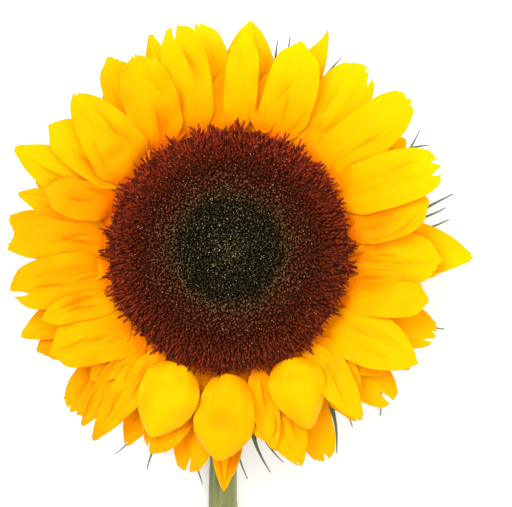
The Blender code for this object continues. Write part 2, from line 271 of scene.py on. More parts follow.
def stem_skin(along, turn):
    """How far the skin stands off the round stem at this distance from the head and this angle round it."""
    skin = RIB_DEPTH * np.sin(RIBS * turn + RIB_TWIST * along / MM + 0.7 * np.sin(3.0 * turn))
    skin = skin + 0.07 * MM * np.sin(along / (9.0 * MM) + 2.0 * turn)
    for scar_at, scar_turn, size in LEAF_SCARS:
        apart = (turn - scar_turn + math.pi) % (2.0 * math.pi) - math.pi
        ahead = (along / MM - scar_at) / 2.6
        swelling = np.exp(-(apart / 0.75) ** 2 - ahead**2)
        cut = np.exp(-(apart / 0.55) ** 2 - (ahead - 0.5) ** 2 * 9.0)
        skin = skin + size * MM * (0.75 * swelling - 0.45 * cut)
    return skin


along_grid, turn_grid = np.meshgrid(stem_along, stem_turn, indexing="ij")
stem_out = (stem_across[:, None] * np.cos(turn_grid)[..., None]
            + stem_up[:, None] * np.sin(turn_grid)[..., None])
stem_reach = stem_radius[:, None] + stem_skin(along_grid, turn_grid)
floor_share = clipped(-stem_out[..., 2]) ** 4
stem_reach = stem_reach - floor_share * np.maximum(stem_reach - stem_radius[:, None], 0.0)
stem_points = stem_middle[:, None] + stem_out * stem_reach[..., None]

# The cut end goes in by a few rings: the rind's edge, a sunken ring of vessels and the raised pith. Each
# is its share of the stem's radius and how far it stands out, in millimetres.
CUT_RINGS = ((0.97, 0.25), (0.90, 0.32), (0.84, -0.10), (0.74, -0.28), (0.66, -0.10), (0.50, 0.05),
             (0.30, -0.06), (0.12, 0.02), (0.015, 0.0))
end_middle, end_forward = stem_middle[-1], stem_forward[-1]
cut_points = []
for share, rise in CUT_RINGS:
    rough = 0.10 * MM * np.sin(stem_turn * 9.0 + share * 40.0) * share
    ring = end_middle + stem_out[-1] * (stem_reach[-1][:, None] * share)
    cut_points.append(ring + end_forward * (rise * MM + rough)[:, None])
stem_points = np.concatenate([stem_points, np.array(cut_points)])
cut_count = len(CUT_RINGS)
stem_marks = {
    "cut": np.repeat([0.0] * STEM_STATIONS + [0.25] + [1.0] * (cut_count - 1), STEM_SIDES),
    "inward": np.repeat([1.0] * STEM_STATIONS + [share for share, _ in CUT_RINGS], STEM_SIDES),
    "along": np.repeat(np.concatenate([stem_along / MM, [stem_along[-1] / MM] * cut_count]), STEM_SIDES),
    "around": np.tile(stem_turn, STEM_STATIONS + cut_count),
}

rind = Finish("stem rind", Roughness=0.55, Specular_IOR_Level=0.35)
around, down_stem = rind.mark("around"), rind.mark("along")
rib_light = rind.wave("SINE", around * RIBS + down_stem * RIB_TWIST)
streaks = rind.noise(rind.spread(around * 3.2, down_stem * 0.03, 0.0), 3.0, 4.0, 0.6)
mottle = rind.noise(rind.place(), 260.0, 4.0, 0.6)
green = rind.ramp(streaks, (0.30, (0.126, 0.140, 0.040)), (0.52, (0.190, 0.204, 0.062)),
                  (0.72, (0.295, 0.305, 0.105)))
# Painted light and shade: the skin is painted paler along one side of the stem and darker along the opposite
# side, as if lit from one side.
painted_light_side = rind.wave("COSINE", around - 0.25)
green = rind.blend((painted_light_side * 0.9 - 0.35).clamped() * 0.75, green, (0.53, 0.54, 0.24))
green = rind.blend((painted_light_side * -0.8 - 0.25).clamped() * 0.6, green, (0.105, 0.135, 0.055))
green = rind.blend((rib_light * 0.10 + 0.06).clamped(), green, (0.46, 0.475, 0.21))
green = rind.blend((mottle * 0.55 - 0.12).clamped(), green, (0.27, 0.305, 0.11))
flecks = rind.node("ShaderNodeTexVoronoi", {}, {"Vector": rind.place(), "Scale": 620.0})
fleck = (1.0 - flecks * 3.4).clamped() ** 1.5
green = rind.blend(fleck * 0.85, green, (0.075, 0.060, 0.026))
inward = rind.mark("inward")
pith_spots = rind.noise(rind.place(), 1400.0, 2.0, 0.7)
pith = rind.blend(pith_spots, (0.70, 0.71, 0.55), (0.86, 0.86, 0.76))
vessels = rind.blend(pith_spots, (0.42, 0.47, 0.22), (0.62, 0.60, 0.36))
cut_colour = rind.blend(((inward - 0.66) * 9.0).clamped(), pith, vessels)
rind.set(Base_Color=rind.blend(rind.mark("cut"), green, cut_colour))
rind.bump(streaks * 0.6 + mottle * 0.4, 0.25 * MM, 0.5)


def lid(start, sides):
    """Quads that close a ring of an even number of points, facing the way that the ring turns round."""
    step = np.arange(sides // 2 - 1)
    return start + np.stack([step, step + 1, sides - 2 - step, sides - 1 - step], axis=1)


stem_rings = STEM_STATIONS + cut_count
stem_faces = np.concatenate([grid_faces(stem_rings, STEM_SIDES, True), lid(0, STEM_SIDES)[:, ::-1],
                             lid((stem_rings - 1) * STEM_SIDES, STEM_SIDES)])
stem = piece_from("stem_skin", stem_points.reshape(-1, 3), stem_faces[:, ::-1], rind,
                  stem_marks)
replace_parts(stem, "stem")


def beside(ways):
    """Ways of length one, with two more at right angles to each."""
    ways = ways / np.linalg.norm(ways, axis=1, keepdims=True)
    helper = np.where(np.abs(ways[:, 2:]) < 0.9, np.array((0.0, 0.0, 1.0)), np.array((1.0, 0.0, 0.0)))
    first = np.cross(helper, ways)
    first /= np.linalg.norm(first, axis=1, keepdims=True)
    return ways, first, np.cross(ways, first)


def spikes(roots, ways, lengths_of, width, stations=4, sides=3):
    """Closed tapering hairs: one on each root, along its way."""
    count = len(roots)
    ways, first, second = beside(ways)
    share = np.linspace(0.0, 1.0, stations)[None, :, None]
    spine = roots[:, None] + ways[:, None] * (lengths_of[:, None, None] * share)
    turn = round_turns(sides)
    ring = -first[:, None] * np.cos(turn)[None, :, None] - second[:, None] * np.sin(turn)[None, :, None]
    taper = width / 2.0 * (1.0 - 0.93 * share[..., None])
    points = (spine[:, :, None] + ring[:, None] * taper).reshape(-1, 3)
    wall = grid_faces(stations, sides, True)
    caps = [(0, k + 1, k) for k in range(1, sides - 1)]
    top = (stations - 1) * sides
    caps += [(top, top + k, top + k + 1) for k in range(1, sides - 1)]
    one = np.concatenate([wall[:, [0, 1, 2]], wall[:, [0, 2, 3]], np.array(caps)])
    faces = (one[None] + (np.arange(count) * stations * sides)[:, None, None]).reshape(-1, 3)
    return points, faces


STEM_HAIRS = 3400
STEM_HAIR_WIDTH = 0.075 * MM
hair_station = dice.integers(30, STEM_STATIONS - 3, STEM_HAIRS)
hair_side = dice.integers(0, STEM_SIDES, STEM_HAIRS)
hair_out = stem_out[hair_station, hair_side]
off_floor = hair_out[:, 2] > -0.55
hair_station, hair_side, hair_out = hair_station[off_floor], hair_side[off_floor], hair_out[off_floor]
hair_roots = stem_points[hair_station, hair_side]
hair_ways = hair_out + dice.normal(0.0, 0.28, hair_out.shape)
hair_lengths = dice.uniform(0.45, 1.15, len(hair_roots)) * MM
hair_points, hair_faces = spikes(hair_roots, hair_ways, hair_lengths, STEM_HAIR_WIDTH)
down = Finish("stem hair", Roughness=0.4, Base_Color=(0.72, 0.76, 0.58))
down.set(Base_Color=down.blend(down.noise(down.place(), 900.0), (0.55, 0.60, 0.38), (0.84, 0.86, 0.72)))
piece_from("stem_hairs", hair_points, hair_faces, down)

# CUP
# The receptacle behind the disc: a shallow fleshy green cup that widens from the stem. It is softly
# ribbed where the bracts join it, and orange at its rim where the petals do.
# Its radii and its heights above the floor, in millimetres.
CUP_OUTLINE = np.array(((6.6, 19.6), (9.0, 19.75), (14.0, 21.0), (22.0, 22.4), (31.0, 24.7), (36.6, 27.8),
                        (38.8, 31.2), (38.9, 35.0), (38.8, 38.4), (37.6, 39.9), (30.0, 40.2), (6.0, 40.2)))
CUP_ROWS = 70
CUP_SIDES = 180
CUP_RIBS = 34
RIM_HEIGHT = 34.0 * MM


def turned_outline(outline, rows, sides):
    """Radii and heights along a smooth closed outline, the angles to turn it by, and the faces it makes."""
    profile = through(np.linspace(0.0, 1.0, len(outline)), outline * MM, np.linspace(0.0, 1.0, rows))
    turn = round_turns(sides)
    return profile[:, :1], profile[:, 1:], turn, grid_faces(rows + 1, sides, True) % (rows * sides)


def round_head(radii, turn, heights):
    """Points at these radii, angles and heights about the head's axis."""
    return np.stack([HEAD.x + radii * np.cos(turn), HEAD.y + radii * np.sin(turn), heights + 0.0 * turn],
                    axis=-1).reshape(-1, 3)


cup_radii, cup_heights, cup_turn, cup_faces = turned_outline(CUP_OUTLINE, CUP_ROWS, CUP_SIDES)
rib_share = np.sin(math.pi * clipped(np.linspace(0.0, 1.0, CUP_ROWS)[:, None] * 1.5))
cup_swell = 0.22 * MM * rib_share * np.sin(CUP_RIBS * cup_turn + 3.0 * np.sin(5.0 * cup_turn))
cup_points = round_head(cup_radii + 0.5 * cup_swell, cup_turn, cup_heights - cup_swell)
flesh = Finish("cup flesh", Roughness=0.6, Specular_IOR_Level=0.3)
flesh_spots = flesh.noise(flesh.place(), 320.0, 4.0, 0.6)
flesh_green = flesh.ramp(flesh_spots, (0.3, (0.10, 0.16, 0.045)), (0.5, (0.17, 0.25, 0.075)),
                         (0.7, (0.27, 0.34, 0.13)))
flesh.set(Base_Color=flesh.blend(flesh.mark("rim"), flesh_green, (0.55, 0.14, 0.0)))
flesh.bump(flesh_spots, 0.3 * MM, 0.5)
cup_rim = clipped((cup_points[:, 2] - RIM_HEIGHT) / (3.0 * MM))
cup = piece_from("cup", cup_points, cup_faces, flesh, {"rim": cup_rim})
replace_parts(cup, "receptacle")

# PETALS
# Thin ray petals in several rows round the rim, with slim and short ones between the large. Each is a
# single blade with shallow lengthwise grooves, a frilled edge and a blunt, toothed or pointed end. They
# are deep orange where they leave the disc, their own colour deepened there with painted shade, and lemon
# at the tips. Painted shade also turns their creases and hollows orange, and painted light and shade
# make one side of the flower more lemon and the other more golden.
PETAL_ROWS = 7
PETAL_COLUMNS = 5
PETAL_PLACES = np.array((0.0, 0.13, 0.29, 0.46, 0.64, 0.82, 1.0))
FINE_ROWS = 80
FINE_COLUMNS = 53
PETAL_THICKNESS = 0.30 * MM
# A petal runs on under the florets by this share of its length.
ROOT = -0.11
WIDER_BASE = np.array((1.40, 1.24, 1.07, 1.02, 1.0, 1.0, 1.0))
BLUNT_END = np.array((0.0, 0.0, 0.0, 0.0, 0.0, 0.10, 0.60))
# Three petals of the top row arch down to the disc: where they start, how far they drop there, and their
# share of their full width at places along them.
HOOD_START = 39.7 * MM
HOOD_DROP = 3.0 * MM
HOOD_PLACES = np.array((0.0, 0.03, 0.08, 0.16, 0.28, 0.45, 0.62, 0.78, 0.90, 0.96, 1.0))
HOOD_SHARES = {
    17: np.array((0.46, 0.62, 0.80, 0.94, 1.00, 0.96, 0.80, 0.57, 0.36, 0.24, 0.10)),
    21: np.array((0.42, 0.55, 0.68, 0.80, 0.89, 0.98, 1.03, 0.97, 0.74, 0.52, 0.20)),
    24: np.array((0.46, 0.61, 0.78, 0.92, 1.00, 1.02, 0.95, 0.78, 0.53, 0.36, 0.14)),
}


def blade_grid(node, rows, columns):
    """The middle surface of a CAD blade: rows of points from the attached end to the tip, left to right."""
    corners = own_points(node)
    apart = np.linalg.norm(corners[:, None, :2] - corners[None, :, :2], axis=2)
    np.fill_diagonal(apart, 1.0)
    middles = (corners + corners[apart.argmin(axis=1)]) / 2.0
    _, first = np.unique(np.round(middles / (0.01 * MM)), axis=0, return_index=True)
    middles = middles[first]
    centre = middles[:, :2].mean(axis=0)
    outward = centre - np.array((HEAD.x, HEAD.y))
    _, _, axes = np.linalg.svd(middles[:, :2] - centre)
    forward = max((axes[0], axes[1]), key=lambda axis: abs(axis @ outward) + 2.0 * (axis is axes[0]) * MM)
    for _ in range(3):
        forward = forward * np.sign(forward @ outward)
        order = np.argsort(middles[:, :2] @ forward)
        grid = middles[order].reshape(rows, columns, 3)
        side = np.array((forward[1], -forward[0]))
        grid = np.array([row[np.argsort(row[:, :2] @ side)] for row in grid])
        across = (grid[:, -1, :2] - grid[:, 0, :2]).sum(axis=0)
        forward = np.array((-across[1], across[0])) / np.linalg.norm(across)
    return grid


def fine_blade(grid, places, along, across):
    """Points of the smooth surface through a coarse grid. Along and across are arrays of the same shape."""
    wide = through(np.linspace(-1.0, 1.0, grid.shape[1]), grid.transpose(1, 0, 2), across[0])
    wide = wide.transpose(1, 0, 2)
    columns = [through(places, wide[:, column], along[:, column]) for column in range(across.shape[1])]
    return np.stack(columns, axis=1)


def closed_sheet(top, thickness):
    """Points and faces of a thin closed sheet under a grid of top points, as thick at each point as given.
    """
    rows, columns = top.shape[:2]
    along = np.gradient(top, axis=0)
    across = np.gradient(top, axis=1)
    out = np.cross(across, along)
    out /= np.maximum(np.linalg.norm(out, axis=2, keepdims=True), 1e-12)
    out *= np.where(out[..., 2:].mean() < 0.0, -1.0, 1.0)
    under = top - out * np.broadcast_to(thickness, top.shape[:2])[..., None]
    points = np.concatenate([top.reshape(-1, 3), under.reshape(-1, 3)])
    face = grid_faces(rows, columns)
    count = rows * columns
    first, last = np.arange(columns - 1), (rows - 1) * columns + np.arange(columns - 1)
    left, right = np.arange(rows - 1) * columns, np.arange(rows - 1) * columns + columns - 1
    walls = [np.stack([first + 1, first, first + count, first + 1 + count], axis=1),
             np.stack([last, last + 1, last + 1 + count, last + count], axis=1),
             np.stack([left, left + columns, left + columns + count, left + count], axis=1),
             np.stack([right + columns, right, right + count, right + columns + count], axis=1)]
    faces = np.concatenate([face, face[:, ::-1] + count] + walls)
    return points, faces


def both_sides(along, **marks):
    """Marks for the top and the under points of a closed sheet, from grids or single values."""
    marks["along"] = along
    return {name: np.tile((values + 0.0 * along).ravel(), 2) for name, values in marks.items()}


GROOVE_DEPTH = 0.20 * MM
VEIN_HEIGHT = 0.028 * MM
FRILL_HEIGHT = 0.42 * MM
SWELL_HEIGHT = 0.25 * MM
ROLLED_EDGE = 3.2 * MM
# What sets one petal apart from the next, petal by petal in the frame's order. The first number of each
# pair is how far the petal's corners draw back, and the second is how much more golden it is than its
# place gives.
# Petal 7's second number, -0.70, is painted light that keeps it lemon where it lies in shade.
ROUND_AND_GOLD = (
    (0.18, -0.10), (0.10, 0.00), (0.16, -0.05), (0.05, 0.25), (0.10, 0.00), (0.06, 0.00), (0.10, -0.70),
    (0.05, 0.00), (0.12, 0.34), (0.02, -0.05), (0.12, 0.10), (0.12, 0.15), (0.04, 0.15), (0.08, -0.10),
    (0.03, 0.15), (0.05, 0.00), (0.03, -0.22), (0.06, 0.10), (0.03, 0.00), (0.10, 0.00), (0.14, 0.05),
    (0.02, 0.12), (0.04, 0.15), (0.12, -0.28), (0.10, 0.10), (0.03, 0.05), (0.02, 0.00), (0.02, 0.00),
    (0.06, 0.10), (0.14, -0.05), (0.14, 0.35), (0.03, 0.05), (0.10, -0.05), (0.12, 0.00), (0.00, 0.10),
    (0.02, 0.05), (0.14, 0.35), (0.03, -0.20), (0.12, -0.10), (0.08, 0.05), (0.12, 0.05), (0.12, 0.15),
    (0.01, -0.10), (0.03, -0.05), (0.10, -0.05),
)
# Nicks in a petal's end: (across, depth, half-width). A negative depth draws the end out to a point.
NICKS = {
    2: ((0.2, 0.02, 0.3),), 4: ((-0.9, 0.22, 0.9),), 5: ((0.30, 0.05, 0.10), (0.62, 0.13, 0.14)),
    6: ((-0.15, 0.03, 0.35), (0.55, 0.03, 0.12)), 8: ((-0.30, 0.08, 0.16), (0.34, 0.10, 0.22)),
    10: ((0.0, -0.035, 0.35),), 11: ((0.42, 0.05, 0.14),), 13: ((-0.25, 0.06, 0.12), (0.45, 0.10, 0.16)),
    15: ((0.05, 0.17, 0.22),), 16: ((0.10, 0.04, 0.30),), 18: ((-0.10, 0.07, 0.25),),
    19: ((0.35, 0.06, 0.20),), 21: ((-0.45, 0.07, 0.07),), 22: ((0.0, -0.03, 0.5),),
    23: ((0.0, 0.15, 0.18),), 25: ((0.55, 0.08, 0.12),), 26: ((0.30, 0.05, 0.20),),
    29: ((-0.35, 0.05, 0.15), (0.30, 0.04, 0.12)), 34: ((-0.30, 0.20, 0.20),), 35: ((-0.05, 0.06, 0.60),),
    39: ((0.30, 0.04, 0.12),), 40: ((0.25, 0.04, 0.25),), 42: ((-0.15, 0.05, 0.10), (0.22, 0.03, 0.10)),
    44: ((-0.30, 0.13, 0.22),), 45: ((-0.35, 0.05, 0.12), (0.10, 0.04, 0.08)),
}
# Hollows and swellings: (along, across, depth in millimetres, reach along, reach across). Hollows are also
# painted with shade.
HOLLOWS = {
    6: ((0.62, 0.75, -0.5, 0.2, 0.4),), 8: ((0.66, 0.15, -0.7, 0.16, 0.35),),
    9: ((0.36, 0.1, -1.0, 0.25, 0.5), (0.75, 0.3, 0.5, 0.15, 0.4)), 11: ((0.45, 0.25, -0.6, 0.4, 0.18),),
    12: ((0.30, -0.35, -1.3, 0.20, 0.35), (0.66, 0.0, 0.6, 0.2, 0.6)),
    14: ((0.55, -0.25, -0.6, 0.35, 0.12),),
    17: ((0.20, 0.2, -0.9, 0.10, 0.5), (0.75, 0.5, -0.8, 0.3, 0.3)), 19: ((0.6, 0.1, -0.5, 0.4, 0.12),),
    21: ((0.52, 0.1, -1.4, 0.16, 0.6),), 24: ((0.55, 0.7, -1.0, 0.3, 0.3), (0.12, -0.3, -0.8, 0.1, 0.4)),
    30: ((0.5, 0.1, 0.5, 0.25, 0.4),), 35: ((0.55, 0.0, -0.5, 0.4, 0.3),),
    40: ((0.22, -0.15, -0.7, 0.07, 0.5),), 42: ((0.18, 0.25, -1.0, 0.16, 0.35),),
}
# Creases beyond the chance ones: (along, across) of both ends and a depth in millimetres. The depth also
# sets each crease's painted shade.
CREASES = {22: ((0.35, -0.55, 1.05, -0.15, 1.1), (0.35, 0.55, 1.05, 0.2, 1.1))}
CURLED_ENDS = {4: 1.2, 34: 0.8}
BLUNT_ENDS = {8: 0.4, 35: 1.0}
HOODED = (17, 21, 24)
# The short petals and those between have higher numbers than this, and get painted shade at their attached
# ends, which makes them orange there.
UNDER_PETALS = 208
# Petals lower than this lie in the back rows, and are painted lighter, more lemon, to offset the shade that
# falls on them.
BACK_ROW = 39.0 * MM
# Bearings of the side of the flower painted with shade, where petals are most golden, and of the side
# painted with light, where they turn furthest to lemon towards their tips.
PETAL_SHADE_SIDE = math.radians(290.0)
PETAL_LIGHT_SIDE = math.radians(30.0)
head_at = np.array((HEAD.x, HEAD.y))


def petal_outline(number, grid, rounding):
    """Points of a petal's smooth blade, cut to its outline, and how far along and across it each one is."""
    hooded = number in HOODED
    steps = np.linspace(0.0, 1.0, FINE_ROWS) ** 0.92
    across_row = np.sin(np.linspace(-0.5, 0.5, FINE_COLUMNS) * math.pi * 0.86) / math.sin(0.43 * math.pi)
    down_grid, across = np.meshgrid(steps, across_row, indexing="ij")
    edge = np.abs(across)
    reach = 1.0 - rounding * edge**2.4 + 0.006 * np.sin(across * 23.0 + number)
    for nick_at, depth, half_width in NICKS.get(number, ()):
        reach = reach - depth * clipped(1.0 - np.abs(across - nick_at) / half_width) ** 0.8
    root = 0.03 * edge**2 + (0.0 if hooded else ROOT)
    along = root + (reach - root) * down_grid
    grid = grid.copy()
    middle = grid[:, 2:3, :2].copy()
    if hooded:
        half = np.linalg.norm(grid[3, -1] - grid[3, 0]) / 2.0
        apart = grid[:, :, :2] - middle
        shares = np.linalg.norm(apart[:, -1] - apart[:, 0], axis=1) / 2.0 / half
        outward = (middle[0, 0] - head_at) / np.linalg.norm(middle[0, 0] - head_at)
        middle[0] = head_at + outward * HOOD_START
        grid[:, :, :2] = middle + apart / shares[:, None, None]
        grid[0, :, 2] = grid[2, :, 2] - HOOD_DROP
        grid[1, :, 2] = grid[2, :, 2] - 0.05 * HOOD_DROP
    else:
        widening = WIDER_BASE + BLUNT_END * BLUNT_ENDS.get(number, 0.0)
        grid[:, :, :2] = middle + (grid[:, :, :2] - middle) * widening[:, None, None]
    top = fine_blade(grid, PETAL_PLACES, along, across)
    if hooded:
        spine = top[:, FINE_COLUMNS // 2, None, :2].copy()
        share = np.interp(steps, HOOD_PLACES, HOOD_SHARES[number])[:, None, None]
        top[..., :2] = spine + (top[..., :2] - spine) * share
        top[..., 2] -= (1.5 + 1.5 * clipped(1.0 - steps / 0.25)[:, None]) * MM * edge**2.2
    return top, along, across


def petal_relief(number, along, across, half):
    """How far each point of a petal stands off its smooth blade, and how much painted shade darkens its
    yellow there.
    """
    luck = np.random.default_rng(100 + number)
    hooded = number in HOODED
    edge = np.abs(across)
    open_share = clipped(along / 0.25) * clipped((1.02 - along) / 0.25)
    lift = np.zeros_like(along)
    for groove_at in (-0.36 + luck.normal(0.0, 0.05), 0.34 + luck.normal(0.0, 0.05)):
        bend = groove_at * (1.0 - 0.25 * along)
        lift -= GROOVE_DEPTH * open_share * np.exp(-(((across - bend) / 0.11) ** 2))
    veins = np.sin(across * (half / MM) * 7.0 + luck.uniform(0.0, 6.0) + 0.8 * np.sin(along * 6.0))
    lift += VEIN_HEIGHT * veins * clipped(along / 0.2 + 0.5)
    frill = np.sin(along * luck.uniform(13.0, 19.0) + luck.uniform(0.0, 6.0) + 1.5 * np.sign(across))
    lift += FRILL_HEIGHT * luck.uniform(0.6, 1.2) * frill * edge**4 * open_share
    lift += SWELL_HEIGHT * np.sin(along * 5.0 + across * 2.2 + luck.uniform(0.0, 6.0)) * open_share
    # Painted shade: creases and hollows are marked to be painted darker orange, as shade falls in them.
    warm = np.zeros_like(along)
    creases = list(CREASES.get(number, ()))
    for crease in range(luck.integers(2, 5)):
        if crease % 2 == 0:
            start, length = luck.uniform(-0.06, 0.06), luck.uniform(0.35, 0.70)
        else:
            start, length = luck.uniform(0.15, 0.45), luck.uniform(0.40, 0.60)
        where = luck.uniform(-0.75, 0.75)
        end_where = where * luck.uniform(0.2, 1.3) + luck.normal(0.0, 0.18)
        depth = luck.uniform(0.20, 0.75) * (0.35 if hooded else 1.0)
        creases.append((start, where, start + length, end_where, depth))
    rolled = luck.choice((-1.0, 1.0))
    turned_up = clipped(across * rolled - 0.45) ** 1.5 * luck.uniform(0.2, 1.0)
    lift += ROLLED_EDGE * turned_up * open_share * (0.0 if hooded else 1.0)
    for start, start_across, end, end_across, depth in creases:
        share = (along - start) / (end - start)
        line = start_across + (end_across - start_across) * share + 0.10 * np.sin(share * 3.0 + start * 20.0)
        off = (across - line) * np.sign(start_across + 1e-6) * half / (8.0 * MM)
        fades = np.sin(math.pi * clipped(share)) ** 1.3
        line_mark = fades * np.exp(-((off / np.where(off < 0.0, 0.035, 0.07)) ** 2))
        side_mark = fades * np.where(off < 0.0, np.exp(-((off / 0.045) ** 2)), np.exp(-((off / 0.34) ** 2)))
        lift -= MM * depth * (0.30 * line_mark + 0.75 * side_mark)
        warm += depth * (0.70 * line_mark + 0.34 * side_mark)
    for hollow_along, hollow_across, depth, reach_along, reach_across in HOLLOWS.get(number, ()):
        ahead = (along - hollow_along) / reach_along
        aside = (across - hollow_across) / reach_across
        near = np.exp(-(ahead**2) - aside**2)
        lift += depth * MM * near * 0.8
        warm += 0.40 * max(0.0, -depth) * near
    lift += CURLED_ENDS.get(number, 0.0) * MM * clipped((along - 0.75) / 0.25) ** 2 * across
    # Painted shade on the attached ends of the short and between petals.
    if number > UNDER_PETALS:
        warm += 0.75 * clipped(1.0 - along / 0.30)
    return lift, warm


def petal_tones_with_painted_light(number, top, middle, more_gold):
    """How golden a petal is and how far it turns to lemon along its length, with painted shade on one side
    of the flower and painted light on the other side and on the back rows.
    """
    if number in HOODED:
        return more_gold * 0.35, 0.02
    turn = math.atan2(middle[0] - head_at[0], middle[1] - head_at[1])
    back_row_painted_light = min(max((BACK_ROW - top[..., 2].mean()) / (4.0 * MM), 0.0), 1.0)
    gold = 0.11 + 0.03 * math.cos(turn - PETAL_SHADE_SIDE) + more_gold * 0.5 - 0.13 * back_row_painted_light
    return gold, 0.22 + 0.27 * math.cos(turn - PETAL_LIGHT_SIDE)


bloom = Finish("ray petal", Roughness=0.55, Specular_IOR_Level=0.25, Specular_Tint=(1.0, 0.72, 0.05))
bloom_along, bloom_across = bloom.mark("along"), bloom.mark("across")
bloom_width = bloom.mark("width")
vein_place = bloom.spread(bloom_across * bloom_width * 1.5, bloom_along * 2.2, bloom_width)
bloom_vein = bloom.noise(vein_place, 1.6, 4.0, 0.55)
bloom_patch = bloom.noise(bloom.place(), 55.0, 3.0, 0.5)
painted_shade_mark = bloom.mark("warm")
# Painted light and shade: the yellow level is shifted by the painted side of the flower, the back rows and
# each petal's own tone.
yellow_with_painted_light = bloom_along * bloom.mark("ripening") + 0.36 - bloom.mark("gold")
yellow_with_painted_light = yellow_with_painted_light + (bloom_patch - 0.5) * 0.26 + (bloom_vein - 0.5) * 0.16
# The attached end is pushed to orange: partly the petal's own deeper colour, partly painted shade under the
# overhanging florets.
yellow_with_painted_light = yellow_with_painted_light - painted_shade_mark * 0.34 - ((0.05 - bloom_along) * 6.0).clamped() * 0.34
yellow = bloom.ramp(yellow_with_painted_light.clamped(), (0.0, (0.93, 0.195, 0.0)), (0.10, (0.98, 0.285, 0.0)),
                    (0.30, (1.0, 0.375, 0.0)), (0.55, (1.0, 0.455, 0.0)), (0.90, (1.0, 0.580, 0.0)))
# Painted shade: marked creases, hollows and attached ends turn darker orange.
yellow = bloom.blend((painted_shade_mark * 1.2 - 0.25).clamped() * 0.55, yellow, (0.72, 0.23, 0.0))
yellow = bloom.blend((bloom_vein * 1.6 - 0.95).clamped() * 0.20, yellow, (0.95, 0.30, 0.0))
underside = bloom.blend((bloom_vein * 1.4 - 0.4).clamped(), (0.66, 0.42, 0.015), (0.88, 0.52, 0.008))
bloom.set(Base_Color=bloom.blend(bloom.mark("under") * 0.8, yellow, underside))
bloom.bump(bloom_vein, 0.10 * MM, 0.30)


def show_petal(name, number, coarse, rounding, more_gold):
    """Makes a petal on a coarse grid."""
    coarse[..., 2] += PETAL_THICKNESS / 2.0
    half = np.linalg.norm(coarse[3, -1] - coarse[3, 0]) / 2.0
    top, along, across = petal_outline(number, coarse, rounding)
    lift, warm = petal_relief(number, along, across, half)
    top[..., 2] += lift
    gold, ripening = petal_tones_with_painted_light(number, top, coarse[3, 2], more_gold)
    points, faces = closed_sheet(top, PETAL_THICKNESS)
    marks = both_sides(along=along, across=across, width=half / MM, gold=gold, ripening=ripening, warm=warm)
    marks["under"] = np.repeat((0.0, 1.0), along.size)
    return piece_from(name, points, faces, bloom, marks)


for number, (rounding, more_gold) in enumerate(ROUND_AND_GOLD, start=1):
    node = f"petal_{number:02d}"
    coarse = blade_grid(node, PETAL_ROWS, PETAL_COLUMNS)
    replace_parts(show_petal(f"ray_{number:02d}", number, coarse, rounding, more_gold), node)


def planned_blade(bearings, radii, half_widths, places, columns, heights, fold, sweep):
    """A coarse grid like a CAD blade's, from the bearings in degrees and the radii of its two ends."""
    ends = []
    for radius, bearing in zip(radii, bearings):
        turn = math.radians(bearing)
        ends.append(head_at + radius * np.array((math.sin(turn), math.cos(turn))))
    forward = (ends[1] - ends[0]) / np.linalg.norm(ends[1] - ends[0])
    side = np.array((forward[1], -forward[0]))
    across = np.linspace(-1.0, 1.0, columns)
    spine = ends[0] + np.outer(places, ends[1] - ends[0]) + np.outer(sweep * np.sin(math.pi * places), side)
    flat = spine[:, None] + across[None, :, None] * half_widths[:, None, None] * side
    height = heights[:, None] + fold * half_widths[:, None] * (across[None] ** 2 - 0.35)
    return np.concatenate([flat, height[..., None]], axis=2)


# Slim petals that stand between the large ones: (tip bearing, reach, width, height of the attached end).
SLIM_PETALS = ((167.0, 66.0, 8.5, 40.0), (214.0, 67.0, 9.0, 40.0), (141.0, 66.5, 9.0, 40.0),
               (96.5, 67.6, 8.5, 37.2), (143.5, 68.4, 8.5, 35.6), (289.5, 66.0, 9.0, 37.4),
               (256.0, 69.0, 8.0, 36.0), (123.5, 69.5, 9.0, 36.2), (262.0, 64.0, 8.0, 38.2))
SLIM_OUTLINE = np.array((0.46, 0.78, 0.95, 1.0, 0.88, 0.58, 0.12))
SHORT_OUTLINE = np.array((0.84, 0.94, 1.0, 1.0, 0.94, 0.74, 0.26))
SHORT_PETALS = 44
BETWEEN_PETALS = 26
PETAL_START = 41.0
extra_luck = np.random.default_rng(19)
extra_petals = [(bearing, bearing, reach, width, height, 14.0, SLIM_OUTLINE)
                for bearing, reach, width, height in SLIM_PETALS]
for step in range(SHORT_PETALS):
    bearing = step * 360.0 / SHORT_PETALS + extra_luck.normal(0.0, 1.5)
    extra_petals.append((bearing, bearing + extra_luck.normal(0.0, 1.5), extra_luck.uniform(54.0, 58.5),
                         extra_luck.uniform(11.0, 14.0), extra_luck.uniform(32.6, 33.6), 8.0, SHORT_OUTLINE))
for step in range(BETWEEN_PETALS):
    bearing = step * 360.0 / BETWEEN_PETALS + extra_luck.normal(0.0, 3.0)
    extra_petals.append((bearing, bearing + extra_luck.normal(0.0, 3.0), extra_luck.uniform(58.0, 65.0),
                         extra_luck.uniform(8.5, 12.0), extra_luck.uniform(36.6, 38.6),
                         extra_luck.uniform(6.0, 16.0), SLIM_OUTLINE))
for index, (tip_bearing, base_bearing, reach, width, height, slope, outline) in enumerate(extra_petals):
    run = (reach - PETAL_START) * MM
    rise = math.tan(math.radians(slope)) * run * (PETAL_PLACES - 0.6 * PETAL_PLACES**2)
    coarse = planned_blade((base_bearing, tip_bearing), (PETAL_START * MM, reach * MM),
                           width / 2.0 * MM * outline, PETAL_PLACES, PETAL_COLUMNS,
                           height * MM + rise, 0.08, 0.0)
    show_petal(f"short_ray_{index + 1:02d}", 200 + index, coarse, 0.05, 0.04 if reach > 59.0 else 0.14)

